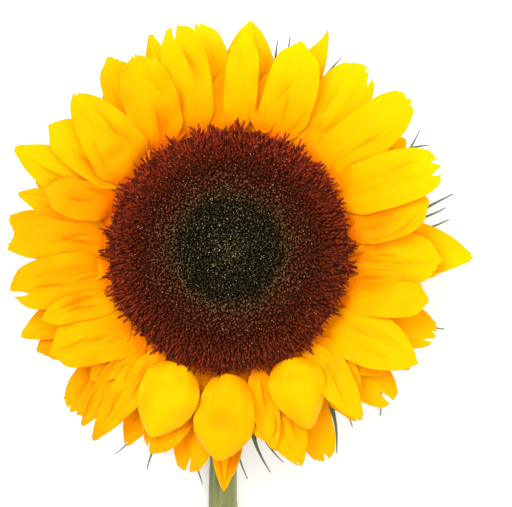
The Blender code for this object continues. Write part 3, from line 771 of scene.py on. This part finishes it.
# BRACTS
# Narrow green leaves round the cup in two rows. Each is widest low down and draws out into a long thin
# grey-green tip that bends or hooks, with a sunken midrib and a fringe of short pale hairs.
BRACT_PLACES = np.array((0.0, 0.22, 0.45, 0.7, 1.0))
BRACT_FINE_ROWS = 46
BRACT_FINE_COLUMNS = 13
BRACT_COLUMNS = 3
FINE_PLACES = np.array((-0.15, 0.0, 0.12, 0.26, 0.42, 0.56, 0.70, 0.85, 1.0))
FINE_SHARES = np.array((0.60, 0.74, 0.95, 1.0, 0.60, 0.28, 0.125, 0.08, 0.035))
COARSE_SHARES = np.array((0.80, 1.0, 0.72, 0.34, 0.10))
LOWEST_TIP = 0.40 * MM
FRINGE_WIDTH = 0.07 * MM
leaf = Finish("bract", Roughness=0.6, Specular_IOR_Level=0.3)
leaf_along, leaf_across = leaf.mark("along"), leaf.mark("across")
leaf_vein = leaf.noise(leaf.spread(leaf_across * 5.0, leaf_along * 2.5, leaf.mark("luck")), 1.6, 4.0, 0.6)
leaf_spots = leaf.noise(leaf.place(), 900.0, 3.0, 0.6)
leaf_green = leaf.ramp(leaf_vein, (0.30, (0.045, 0.075, 0.022)), (0.50, (0.085, 0.13, 0.038)),
                       (0.72, (0.15, 0.20, 0.075)))
leaf_green = leaf.blend((leaf_spots * 1.4 - 0.55).clamped() * 0.6, leaf_green, (0.24, 0.29, 0.15))
leaf_green = leaf.blend((leaf_along * 2.8 - 1.60).clamped(), leaf_green, (0.155, 0.195, 0.120))
midrib = (1.0 - leaf.wave("ABSOLUTE", leaf_across) * 6.0).clamped()
leaf.set(Base_Color=leaf.blend(midrib * 0.5, leaf_green, (0.27, 0.33, 0.15)))
leaf.bump(leaf_vein * 0.6 + leaf_spots * 0.4, 0.15 * MM, 0.5)
fringe_roots, fringe_ways, fringe_sizes = [], [], []


def show_bract(name, number, coarse, hook, coarse_shares):
    """Makes a bract on a coarse grid, its tip bent sideways by the hook, and adds to the fringe of hairs."""
    luck = np.random.default_rng(400 + number)
    steps = np.linspace(-0.12, 1.0, BRACT_FINE_ROWS)
    across_row = np.linspace(-1.0, 1.0, BRACT_FINE_COLUMNS)
    along, across = np.meshgrid(steps, across_row, indexing="ij")
    middle = coarse[:, 1:2].copy()
    coarse = middle + (coarse - middle) / coarse_shares[:, None, None]
    top = fine_blade(coarse, BRACT_PLACES, along, across)
    share = np.interp(steps, FINE_PLACES, FINE_SHARES)[:, None, None]
    spine = top[:, BRACT_FINE_COLUMNS // 2, None]
    top = spine + (top - spine) * share
    forward = spine[-1, 0, :2] - spine[0, 0, :2]
    side = np.array((forward[1], -forward[0])) / np.linalg.norm(forward)
    bent = 1.35 * clipped((steps - 0.50) / 0.50) ** 2.1
    wave = luck.normal(0.0, 0.5) * np.sin(steps * 7.0)
    top[..., :2] += ((hook * bent + wave) * MM)[:, None, None] * side
    top[..., 2] += (np.abs(across) * 0.5 - 0.25 * np.exp(-((across / 0.12) ** 2))) * MM * share[..., 0]
    top[..., 2] += 0.25 * MM * np.sin(along * 11.0 + luck.uniform(0.0, 6.0)) * np.abs(across) * share[..., 0]
    top[..., 2] = np.maximum(top[..., 2], LOWEST_TIP)
    points, faces = closed_sheet(top, (0.10 + 0.26 * share[..., 0]) * MM)
    for column, way in ((0, -1.0), (-1, 1.0)):
        rows = np.linspace(4, BRACT_FINE_ROWS * 0.72, 18).astype(int)
        fringe_roots.append(top[rows, column] - np.array((0.0, 0.0, 0.1 * MM)))
        lean = np.concatenate([np.tile(side * way + forward / np.linalg.norm(forward) * 0.6, (len(rows), 1)),
                               np.abs(luck.normal(0.0, 0.25, (len(rows), 1)))], axis=1)
        fringe_ways.append(lean)
        fringe_sizes.append(luck.uniform(0.35, 0.85, len(rows)) * MM)
    marks = both_sides(along=along, across=across, luck=number)
    return piece_from(name, points, faces, leaf, marks)


# Sideways bend of the tip of each bract that the frame holds, in millimetres, clockwise positive.
HOOKS = (-1.0, 3.0, 0.3, 5.0, 2.5, -4.0, -3.0, 2.0, -2.0, 2.0)
for number, hook in enumerate(HOOKS, start=1):
    node = f"bract_{number:02d}"
    coarse = blade_grid(node, len(BRACT_PLACES), BRACT_COLUMNS)
    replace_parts(show_bract(f"bract_leaf_{number:02d}", number, coarse, hook, COARSE_SHARES), node)

# The upper and the lower row's roots, as a radius and a height. The bracts below stand in each row in turn.
BRACT_ROOTS = ((39.6, 30.0), (38.0, 26.6))
# More bracts: (tip bearing, base bearing, reach, width, height of the tip, sweep, hook).
MORE_BRACTS = (
    (12.0, 10.0, 70.5, 7.5, 27.0, 1.0, 1.5), (29.0, 31.0, 72.5, 8.0, 26.0, -1.0, 1.0),
    (60.5, 66.0, 73.8, 8.0, 23.0, 1.5, -2.5), (81.2, 90.0, 72.3, 7.5, 26.0, -1.0, -2.5),
    (83.9, 94.0, 73.0, 7.5, 22.0, -1.0, -2.0), (107.5, 103.0, 70.0, 8.0, 25.5, 0.5, 2.0),
    (111.5, 112.0, 75.0, 8.0, 22.0, 1.0, -1.5), (143.0, 138.0, 70.5, 8.0, 25.0, 1.0, 2.0),
    (165.6, 160.0, 70.5, 7.0, 25.0, -1.0, -2.0), (172.6, 170.5, 73.5, 9.5, 25.0, 0.5, -2.8),
    (188.8, 197.0, 77.3, 7.0, 25.0, 0.5, -2.4), (206.0, 208.5, 76.0, 7.0, 24.0, -0.5, 3.0),
    (177.5, 178.5, 75.0, 7.0, 25.0, 0.8, -2.0),
    (219.0, 218.0, 66.0, 8.5, 20.0, 0.8, 1.5), (250.0, 247.0, 64.0, 9.0, 17.0, -0.8, -2.0),
    (266.0, 264.0, 66.0, 8.5, 21.0, 0.6, 2.0), (298.0, 300.0, 65.0, 9.0, 18.0, -0.6, -1.5),
    (314.0, 316.0, 66.0, 8.5, 21.0, 0.8, 2.0), (346.0, 345.0, 66.0, 9.0, 19.0, 0.6, 1.5),
    (0.0, 358.0, 64.0, 8.5, 16.0, -0.6, -1.5), (45.0, 44.0, 66.0, 9.0, 17.0, 0.8, 1.5),
    (95.0, 96.0, 63.0, 9.0, 16.0, -0.8, 1.0), (120.0, 119.0, 65.0, 9.0, 17.0, 0.8, -1.5),
    (156.0, 153.0, 62.0, 9.0, 15.0, 0.6, 1.0), (193.0, 193.0, 60.0, 9.0, 15.0, -0.5, 1.0),
)
for index, (tip_bearing, base_bearing, reach, width, tip_height, sweep, hook) in enumerate(MORE_BRACTS):
    base_radius, base_height = BRACT_ROOTS[index % 2]
    heights = base_height + (tip_height - base_height) * BRACT_PLACES**1.25
    coarse = planned_blade((base_bearing, tip_bearing), (base_radius * MM, reach * MM),
                           np.full(len(BRACT_PLACES), width / 2.0 * MM), BRACT_PLACES, BRACT_COLUMNS,
                           heights * MM, 0.12, sweep * MM)
    show_bract(f"bract_more_{index + 1:02d}", 50 + index, coarse, hook, np.ones(len(BRACT_PLACES)))

fringe_points, fringe_faces = spikes(np.concatenate(fringe_roots), np.concatenate(fringe_ways),
                                     np.concatenate(fringe_sizes), FRINGE_WIDTH)
piece_from("bract_fringe", fringe_points, fringe_faces, down)

# DISC
# About five thousand florets set in spirals on a dark bed. The closed buds in the middle are black-green,
# those about to open are brown with pale chaff and pollen, and the open ones are dark red rods that fan
# out at the edge and cover the petals' attached ends.
# The bed's radii and its heights above the floor, in millimetres.
BED_OUTLINE = np.array(((0.5, 40.6), (20.0, 40.6), (36.0, 40.6), (38.2, 41.2), (38.0, 43.0), (35.0, 44.6),
                        (30.0, 45.2), (24.0, 44.8), (18.0, 43.6), (10.0, 43.0), (0.5, 43.4)))
bed_radii, bed_heights, bed_turn, bed_faces = turned_outline(BED_OUTLINE, 60, 120)
bed_finish = Finish("disc bed", Roughness=0.9, Specular_IOR_Level=0.1)
bed_grain = bed_finish.noise(bed_finish.place(), 900.0, 4.0, 0.7)
bed_red = bed_finish.blend(bed_grain, (0.045, 0.010, 0.004), (0.095, 0.021, 0.008))
bed_black = bed_finish.blend(bed_grain, (0.004, 0.004, 0.0015), (0.014, 0.013, 0.005))
bed_finish.set(Base_Color=bed_finish.blend(bed_finish.mark("outer"), bed_black, bed_red))
bed_finish.bump(bed_grain, 0.4 * MM, 0.6)
bed_outer = clipped((bed_radii / MM - 15.0) / 4.0) + 0.0 * bed_turn
bed_points = round_head(bed_radii, bed_turn, bed_heights)
bed = piece_from("disc_bed", bed_points, bed_faces, bed_finish, {"outer": bed_outer.ravel()})

# Where the floret tips stand: (distance over the disc, radius, height, outward tilt in degrees).
TIP_LINE = np.array(((0.0, 0.0, 45.4, 0.0), (7.0, 7.0, 45.1, -4.0), (13.0, 13.0, 45.0, -6.0),
                     (17.0, 17.0, 45.8, -3.0), (20.0, 20.0, 46.8, 3.0), (24.0, 24.0, 47.5, 8.0),
                     (29.0, 29.0, 48.1, 17.0), (33.0, 32.6, 48.3, 31.0), (36.0, 35.3, 47.7, 44.0),
                     (38.6, 37.5, 46.3, 56.0), (41.0, 39.1, 44.5, 67.0), (43.5, 39.9, 42.3, 78.0)))
# How far apart they stand: (distance over the disc, spacing).
SPACING = np.array(((0.0, 0.76), (17.0, 0.84), (26.0, 1.14), (35.0, 1.42), (44.0, 1.90)))
GOLDEN_TURN = math.pi * (3.0 - math.sqrt(5.0))
BUD_ZONE = 17.0
CLOSED_ZONE = 26.0
PACKING = 0.866
# The direction, anticlockwise from +X, of the painted light on the open florets, which are painted reddest
# on that side.
FLORET_LIGHT_SIDE = math.radians(102.0)

sweep_out = np.linspace(0.3, TIP_LINE[-1, 0], 3000)
gap_out = np.interp(sweep_out, SPACING[:, 0], SPACING[:, 1])
round_out = np.interp(sweep_out, TIP_LINE[:, 0], TIP_LINE[:, 1])
held = np.cumsum(2.0 * math.pi * round_out / (PACKING * gap_out**2)) * (sweep_out[1] - sweep_out[0])
floret_out = np.interp(np.arange(int(held[-1])), held, sweep_out)
floret_turn = np.arange(len(floret_out)) * GOLDEN_TURN
floret_out = floret_out + dice.normal(0.0, 0.24, len(floret_out))
floret_turn = floret_turn + dice.normal(0.0, 0.24, len(floret_out)) / np.maximum(floret_out, 2.0)
stage_out = floret_out + dice.normal(0.0, 1.0, len(floret_out))
place_out = through(TIP_LINE[:, 0], TIP_LINE[:, 1:], floret_out)
outward = np.stack([np.cos(floret_turn), np.sin(floret_turn)], axis=1)
tip_at = np.concatenate([head_at + outward * place_out[:, :1] * MM, place_out[:, 1:2] * MM], axis=1)
edge_share = clipped((floret_out - 32.0) / 9.0)
ragged = (np.sin(floret_turn * 19.0 + 2.0 * np.sin(floret_turn * 3.0)) + np.sin(floret_turn * 34.0 + 1.0)
          + 0.6 * np.sin(floret_turn * 7.0 + 2.0)) / 2.0
tip_at[:, :2] += outward * (np.clip(ragged, -0.35, 1.2) * edge_share * 1.7 * MM)[:, None]
tilt = np.radians(place_out[:, 2]) + dice.normal(0.0, 0.11, len(floret_out))
bunched = 0.30 * np.sin(floret_turn * 41.0 + 2.0 * np.sin(floret_turn * 5.0)) * edge_share
yaw = bunched + dice.normal(0.0, 0.14, len(floret_out)) * np.clip(floret_out / 30.0, 0.3, 1.0)
leaning = np.stack([np.cos(floret_turn + yaw), np.sin(floret_turn + yaw)], axis=1)
floret_way = np.concatenate([leaning * np.sin(tilt)[:, None], np.cos(tilt)[:, None]], axis=1)


def turned_shape(profile, sides, star=0.0, star_rise=0.0):
    """A small closed turned shape in quads. Its middle rings can be drawn out into a star."""
    turn = round_turns(sides)
    point_out = np.where(np.arange(sides) % 2 == 0, 1.0, -1.0)
    rings = []
    for radius, height, lobed in profile:
        reach = radius * (1.0 + star * lobed * point_out)
        rise = height + star_rise * lobed * point_out
        rings.append(np.stack([reach * np.cos(turn), reach * np.sin(turn), rise], axis=1))
    wall = grid_faces(len(profile), sides, True)
    top = (len(profile) - 1) * sides
    return np.concatenate(rings), np.concatenate([wall, lid(0, sides)[:, ::-1], lid(top, sides)])


def joined_shapes(*shapes):
    """One template from several, with their points and faces in one list."""
    points, faces, start = [], [], 0
    for shape_points, shape_faces in shapes:
        points.append(shape_points)
        faces.append(shape_faces + start)
        start += len(shape_points)
    return np.concatenate(points), np.concatenate(faces)


def planted(template, roots, ways, tall, wide, twist):
    """Copies of a template, one on each root: z runs from 0 to 1 along the way, and x and y are radii."""
    shape, faces = template
    ways, first, second = beside(ways)
    x = shape[None, :, 0] * np.cos(twist)[:, None] - shape[None, :, 1] * np.sin(twist)[:, None]
    y = shape[None, :, 0] * np.sin(twist)[:, None] + shape[None, :, 1] * np.cos(twist)[:, None]
    sideways = first[:, None] * x[..., None] + second[:, None] * y[..., None]
    points = (roots[:, None] + sideways * wide[:, None, None]
              + ways[:, None] * (shape[None, :, 2:] * tall[:, None, None]))
    all_faces = faces[None] + (np.arange(len(roots)) * len(shape))[:, None, None]
    return points.reshape(-1, 3), all_faces.reshape(-1, faces.shape[1])


def show_florets(name, node, template, mine, finish, tall, wide, roots, twist, ring):
    """Plants a template on the roots of the chosen florets, in place of the frame's plain ring of them."""
    points, faces = planted(template, roots, floret_way[mine], tall, wide, twist)
    marks = {"up": np.tile(template[0][:, 2], len(roots)),
             "tone": np.repeat(dice.random(len(roots)), len(template[0])),
             "ring": np.repeat(ring, len(template[0]))}
    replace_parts(piece_from(name, points, faces, finish, marks), node)


def floret_finish(name, rough, shine, tint, grain, weights, inner, outer):
    """A finish that runs from a floret's foot to its top, and from the inner colours to the outer ones."""
    made = Finish(name, Roughness=rough, Specular_IOR_Level=shine, Specular_Tint=tint)
    speckle = made.noise(made.place(), *grain)
    by_height, by_luck, by_speckle = weights
    share = made.mark("up") * by_height + (made.mark("tone") - 0.5) * by_luck + (speckle - 0.5) * by_speckle
    share = share.clamped()
    made.set(Base_Color=made.blend(made.mark("ring"), made.ramp(share, *inner), made.ramp(share, *outer)))
    made.bump(speckle, 0.08 * MM, 0.5)
    return made


# An open floret: its corolla ends in a five-pointed star, round the tube of anthers and two curled stigmas.
COROLLA = turned_shape(((0.55, 0.0, 0.0), (0.75, 0.20, 0.0), (0.80, 0.42, 0.0), (1.15, 0.62, 1.0),
                        (0.95, 0.60, 0.9), (0.55, 0.40, 0.0), (0.40, 0.30, 0.0)), 10, 0.28, 0.07)
ANTHERS = turned_shape(((0.46, 0.30, 0.0), (0.52, 0.55, 0.0), (0.62, 0.78, 0.0), (0.60, 0.90, 0.0),
                        (0.42, 0.97, 0.0), (0.12, 1.0, 0.0)), 6)
STIGMA = turned_shape(((0.20, 0.0, 0.0), (0.22, 0.35, 0.0), (0.18, 0.75, 0.0), (0.06, 1.0, 0.0)), 4)


def curled_stigma(side):
    """One of the two branches at a floret's top, which curls out and back down."""
    points, faces = STIGMA
    rise = points[:, 2]
    curl = side * (0.12 + 0.55 * np.sin(rise * 1.9))
    return np.stack([points[:, 0] + curl, points[:, 1], 0.95 + 0.08 * np.sin(rise * 2.6)], axis=1), faces


OPEN_FLORET = joined_shapes(COROLLA, ANTHERS, curled_stigma(1.0), curled_stigma(-1.0))
open_index = np.where(stage_out >= CLOSED_ZONE)[0]
near_edge = clipped((floret_out - CLOSED_ZONE) / 12.0)
# Painted light: near the edge the open florets are painted brighter red on one side of the disc, as if lit
# from there.
floret_painted_light = 0.70 + 0.36 * np.cos(floret_turn - FLORET_LIGHT_SIDE)
dark_red = floret_finish(
    "open floret", 0.55, 0.25, (1.0, 0.45, 0.30), (1500.0, 3.0, 0.6), (0.72, 0.50, 0.35),
    ((0.0, (0.040, 0.007, 0.0015)), (0.35, (0.095, 0.015, 0.004)), (0.65, (0.125, 0.021, 0.006)),
     (0.88, (0.105, 0.020, 0.007)), (1.0, (0.14, 0.040, 0.015))),
    ((0.0, (0.018, 0.003, 0.0012)), (0.22, (0.110, 0.010, 0.003)), (0.42, (0.36, 0.040, 0.010)),
     (0.60, (0.26, 0.027, 0.008)), (0.80, (0.085, 0.008, 0.004)), (1.0, (0.040, 0.006, 0.005))))
OPEN_PIECES = 3
LONG_SHARE = 0.22
LONG_FROM = 37.0
for share_number in range(OPEN_PIECES):
    mine = open_index[share_number::OPEN_PIECES]
    usual = 3.4 + 1.6 * near_edge[mine]
    tall = (usual + dice.normal(0.0, 0.35, len(mine))) * MM
    wide = (0.44 + 0.13 * near_edge[mine] + dice.normal(0.0, 0.05, len(mine))) * MM
    long_one = (dice.random(len(mine)) < LONG_SHARE) & (floret_out[mine] > LONG_FROM)
    tall = tall + long_one * dice.uniform(0.8, 2.2, len(mine)) * MM
    roots = tip_at[mine] - floret_way[mine] * (usual * MM)[:, None]
    twist = dice.uniform(0.0, 6.3, len(mine))
    show_florets(f"open_florets_{share_number + 1}", "disc_outer_florets", OPEN_FLORET, mine,
                 dark_red, tall, wide, roots, twist, near_edge[mine] * floret_painted_light[mine])
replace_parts(bed, "disc_outer_florets")


def show_shut_florets(name, node, template, mine, finish, height, width, zone):
    """Plants florets that aren't open. Height and width are (usual, spread), and zone is (start, run)."""
    count = int(mine.sum())
    tall = (height[0] + dice.normal(0.0, height[1], count)) * MM
    wide = (width[0] + dice.normal(0.0, width[1], count)) * MM
    roots = tip_at[mine] - floret_way[mine] * (height[0] * MM)
    twist = dice.uniform(0.0, 6.3, count)
    ring = clipped((floret_out[mine] - zone[0]) / zone[1] + dice.normal(0.0, 0.2, count))
    show_florets(name, node, template, mine, finish, tall, wide, roots, twist, ring)


CLOSED_FLORET = turned_shape(((0.45, 0.0, 0.0), (0.62, 0.30, 0.0), (0.60, 0.60, 0.1), (0.78, 0.82, 0.5),
                              (0.50, 0.95, 0.9), (0.14, 1.0, 0.2)), 8, 0.22, 0.03)
nut_brown = floret_finish(
    "closed floret", 0.65, 0.2, (1.0, 0.6, 0.4), (1700.0, 3.0, 0.6), (0.75, 0.55, 0.35),
    ((0.0, (0.036, 0.017, 0.004)), (0.40, (0.062, 0.030, 0.008)), (0.75, (0.080, 0.040, 0.012)),
     (1.0, (0.115, 0.062, 0.025))),
    ((0.0, (0.075, 0.014, 0.003)), (0.40, (0.108, 0.020, 0.005)), (0.75, (0.125, 0.025, 0.007)),
     (1.0, (0.150, 0.039, 0.014))))
closed = (stage_out >= BUD_ZONE) & (stage_out < CLOSED_ZONE)
show_shut_florets("closed_florets", "disc_middle_florets", CLOSED_FLORET, closed, nut_brown,
                  (3.0, 0.30), (0.50, 0.07), (BUD_ZONE + 1.5, 4.5))

BUD = turned_shape(((0.60, 0.0, 0.0), (0.80, 0.40, 0.2), (0.78, 0.72, 0.5), (0.45, 0.92, 0.8),
                    (0.10, 1.0, 0.0)), 8, 0.18)
night_green = floret_finish(
    "centre bud", 0.6, 0.18, (1.0, 0.92, 0.7), (1900.0, 3.0, 0.65), (0.7, 0.55, 0.45),
    ((0.0, (0.023, 0.016, 0.004)), (0.40, (0.046, 0.036, 0.009)), (0.75, (0.076, 0.062, 0.018)),
     (1.0, (0.15, 0.130, 0.052))),
    ((0.0, (0.014, 0.008, 0.0025)), (0.45, (0.025, 0.016, 0.005)), (0.75, (0.038, 0.027, 0.009)),
     (1.0, (0.085, 0.070, 0.032))))
show_shut_florets("centre_buds", "disc_centre_buds", BUD, stage_out < BUD_ZONE, night_green,
                  (2.2, 0.22), (0.43, 0.06), (2.5, 5.0))

# Chaff stands between the florets as fine points, and pollen and resin sit on their tips as small pale
# grains.
CHAFF = 2600
CHAFF_TO = 34.0
CHAFF_WIDTH = 0.13 * MM
picked = dice.integers(0, len(floret_out), CHAFF)
picked = picked[floret_out[picked] < CHAFF_TO]
chaff_shift = dice.normal(0.0, 0.35, (len(picked), 3)) * MM
chaff_roots = tip_at[picked] - floret_way[picked] * (1.2 * MM) + chaff_shift
chaff_ways = floret_way[picked] + dice.normal(0.0, 0.30, (len(picked), 3))
chaff_points, chaff_faces = spikes(chaff_roots, chaff_ways, dice.uniform(1.0, 1.9, len(picked)) * MM,
                                   CHAFF_WIDTH)
chaff = Finish("chaff", Roughness=0.6)
chaff_tint = chaff.noise(chaff.place(), 700.0, 2.0, 0.6)
chaff.set(Base_Color=chaff.ramp(chaff_tint, (0.35, (0.06, 0.020, 0.008)), (0.5, (0.12, 0.055, 0.022)),
                                (0.7, (0.26, 0.17, 0.085))))
piece_from("chaff", chaff_points, chaff_faces, chaff)

GRAIN = turned_shape(((0.35, 0.0, 0.0), (0.90, 0.30, 0.0), (0.90, 0.70, 0.0), (0.35, 1.0, 0.0)), 6)
# Where the grains lie: (from, to, how many, size in millimetres, tone).
GRAIN_ZONES = ((0.5, 17.0, 300, 0.10, 0.22), (17.0, 27.0, 420, 0.10, 0.55), (27.0, 38.0, 150, 0.11, 0.85))
pollen = Finish("pollen", Roughness=0.5)
pollen_tone = pollen.mark("tone")
pollen.set(Base_Color=pollen.ramp(pollen_tone, (0.0, (0.50, 0.52, 0.42)), (0.45, (0.62, 0.50, 0.30)),
                                  (0.75, (0.60, 0.36, 0.14)), (1.0, (0.60, 0.22, 0.08))))
grain_roots, grain_ways, grain_tones, grain_sizes = [], [], [], []
for inner, outer, wanted, size, tone in GRAIN_ZONES:
    zone = np.where((floret_out > inner) & (floret_out < outer))[0]
    chosen = dice.choice(zone, wanted)
    shift = dice.normal(0.0, 0.30, (wanted, 3)) * np.array((1.0, 1.0, 0.15)) * MM
    grain_roots.append(tip_at[chosen] - floret_way[chosen] * (0.10 * MM) + shift)
    grain_ways.append(floret_way[chosen])
    grain_tones.append(clipped(dice.normal(tone, 0.22, wanted)))
    grain_sizes.append(size * dice.uniform(0.7, 1.4, wanted) * MM)
grain_sizes = np.concatenate(grain_sizes)
grain_points, grain_faces = planted(GRAIN, np.concatenate(grain_roots), np.concatenate(grain_ways),
                                    grain_sizes * 2.0, grain_sizes, np.zeros(len(grain_sizes)))
piece_from("pollen_grains", grain_points, grain_faces, pollen,
           {"tone": np.repeat(np.concatenate(grain_tones), len(GRAIN[0]))})

# FLOOR, LIGHT AND CAMERA
# The flower lies on a plain white sheet of card under one large lamp and one larger, weaker one. The
# camera looks straight down on the head.
FLOOR_SIZE = 6.0
bpy.ops.mesh.primitive_plane_add(size=FLOOR_SIZE, location=(0.0, 0.0, 0.0))
floor = bpy.context.object
floor.name = "floor"
paper = Finish("floor", Roughness=0.9, Base_Color=(0.9, 0.9, 0.9), Specular_IOR_Level=0.1,
               Emission_Color=(1.0, 1.0, 1.0), Emission_Strength=0.22)
floor.data.materials.append(paper.material)

world = bpy.data.worlds.new("studio")
world.use_nodes = True
world.node_tree.nodes["Background"].inputs["Color"].default_value = (1.0, 1.0, 1.0, 1.0)
world.node_tree.nodes["Background"].inputs["Strength"].default_value = 0.74
bpy.context.scene.world = world


def lamp(name, at, size, power):
    """A soft square lamp that faces the head."""
    light = bpy.data.lights.new(name, "AREA")
    light.size = size
    light.energy = power
    thing = bpy.data.objects.new(name, light)
    thing.location = at
    aim = Vector((HEAD.x, HEAD.y, 30.0 * MM)) - Vector(at)
    thing.rotation_euler = aim.to_track_quat("-Z", "Y").to_euler()
    bpy.context.scene.collection.objects.link(thing)


lamp("key", (-0.60, 0.70, 1.3), 0.9, 19.0)
lamp("fill", (0.6, -0.1, 1.5), 1.5, 12.0)

CAMERA_HEIGHT = 1.12
camera = bpy.data.cameras.new("camera")
camera.sensor_width = 36.0
camera.lens = 236.0
camera.clip_end = 20.0
eye = bpy.data.objects.new("camera", camera)
eye.location = (HEAD.x + 8.7 * MM, HEAD.y - 1.1 * MM, CAMERA_HEIGHT)
bpy.context.scene.collection.objects.link(eye)
bpy.context.scene.camera = eye
bpy.context.scene.view_settings.view_transform = "Standard"
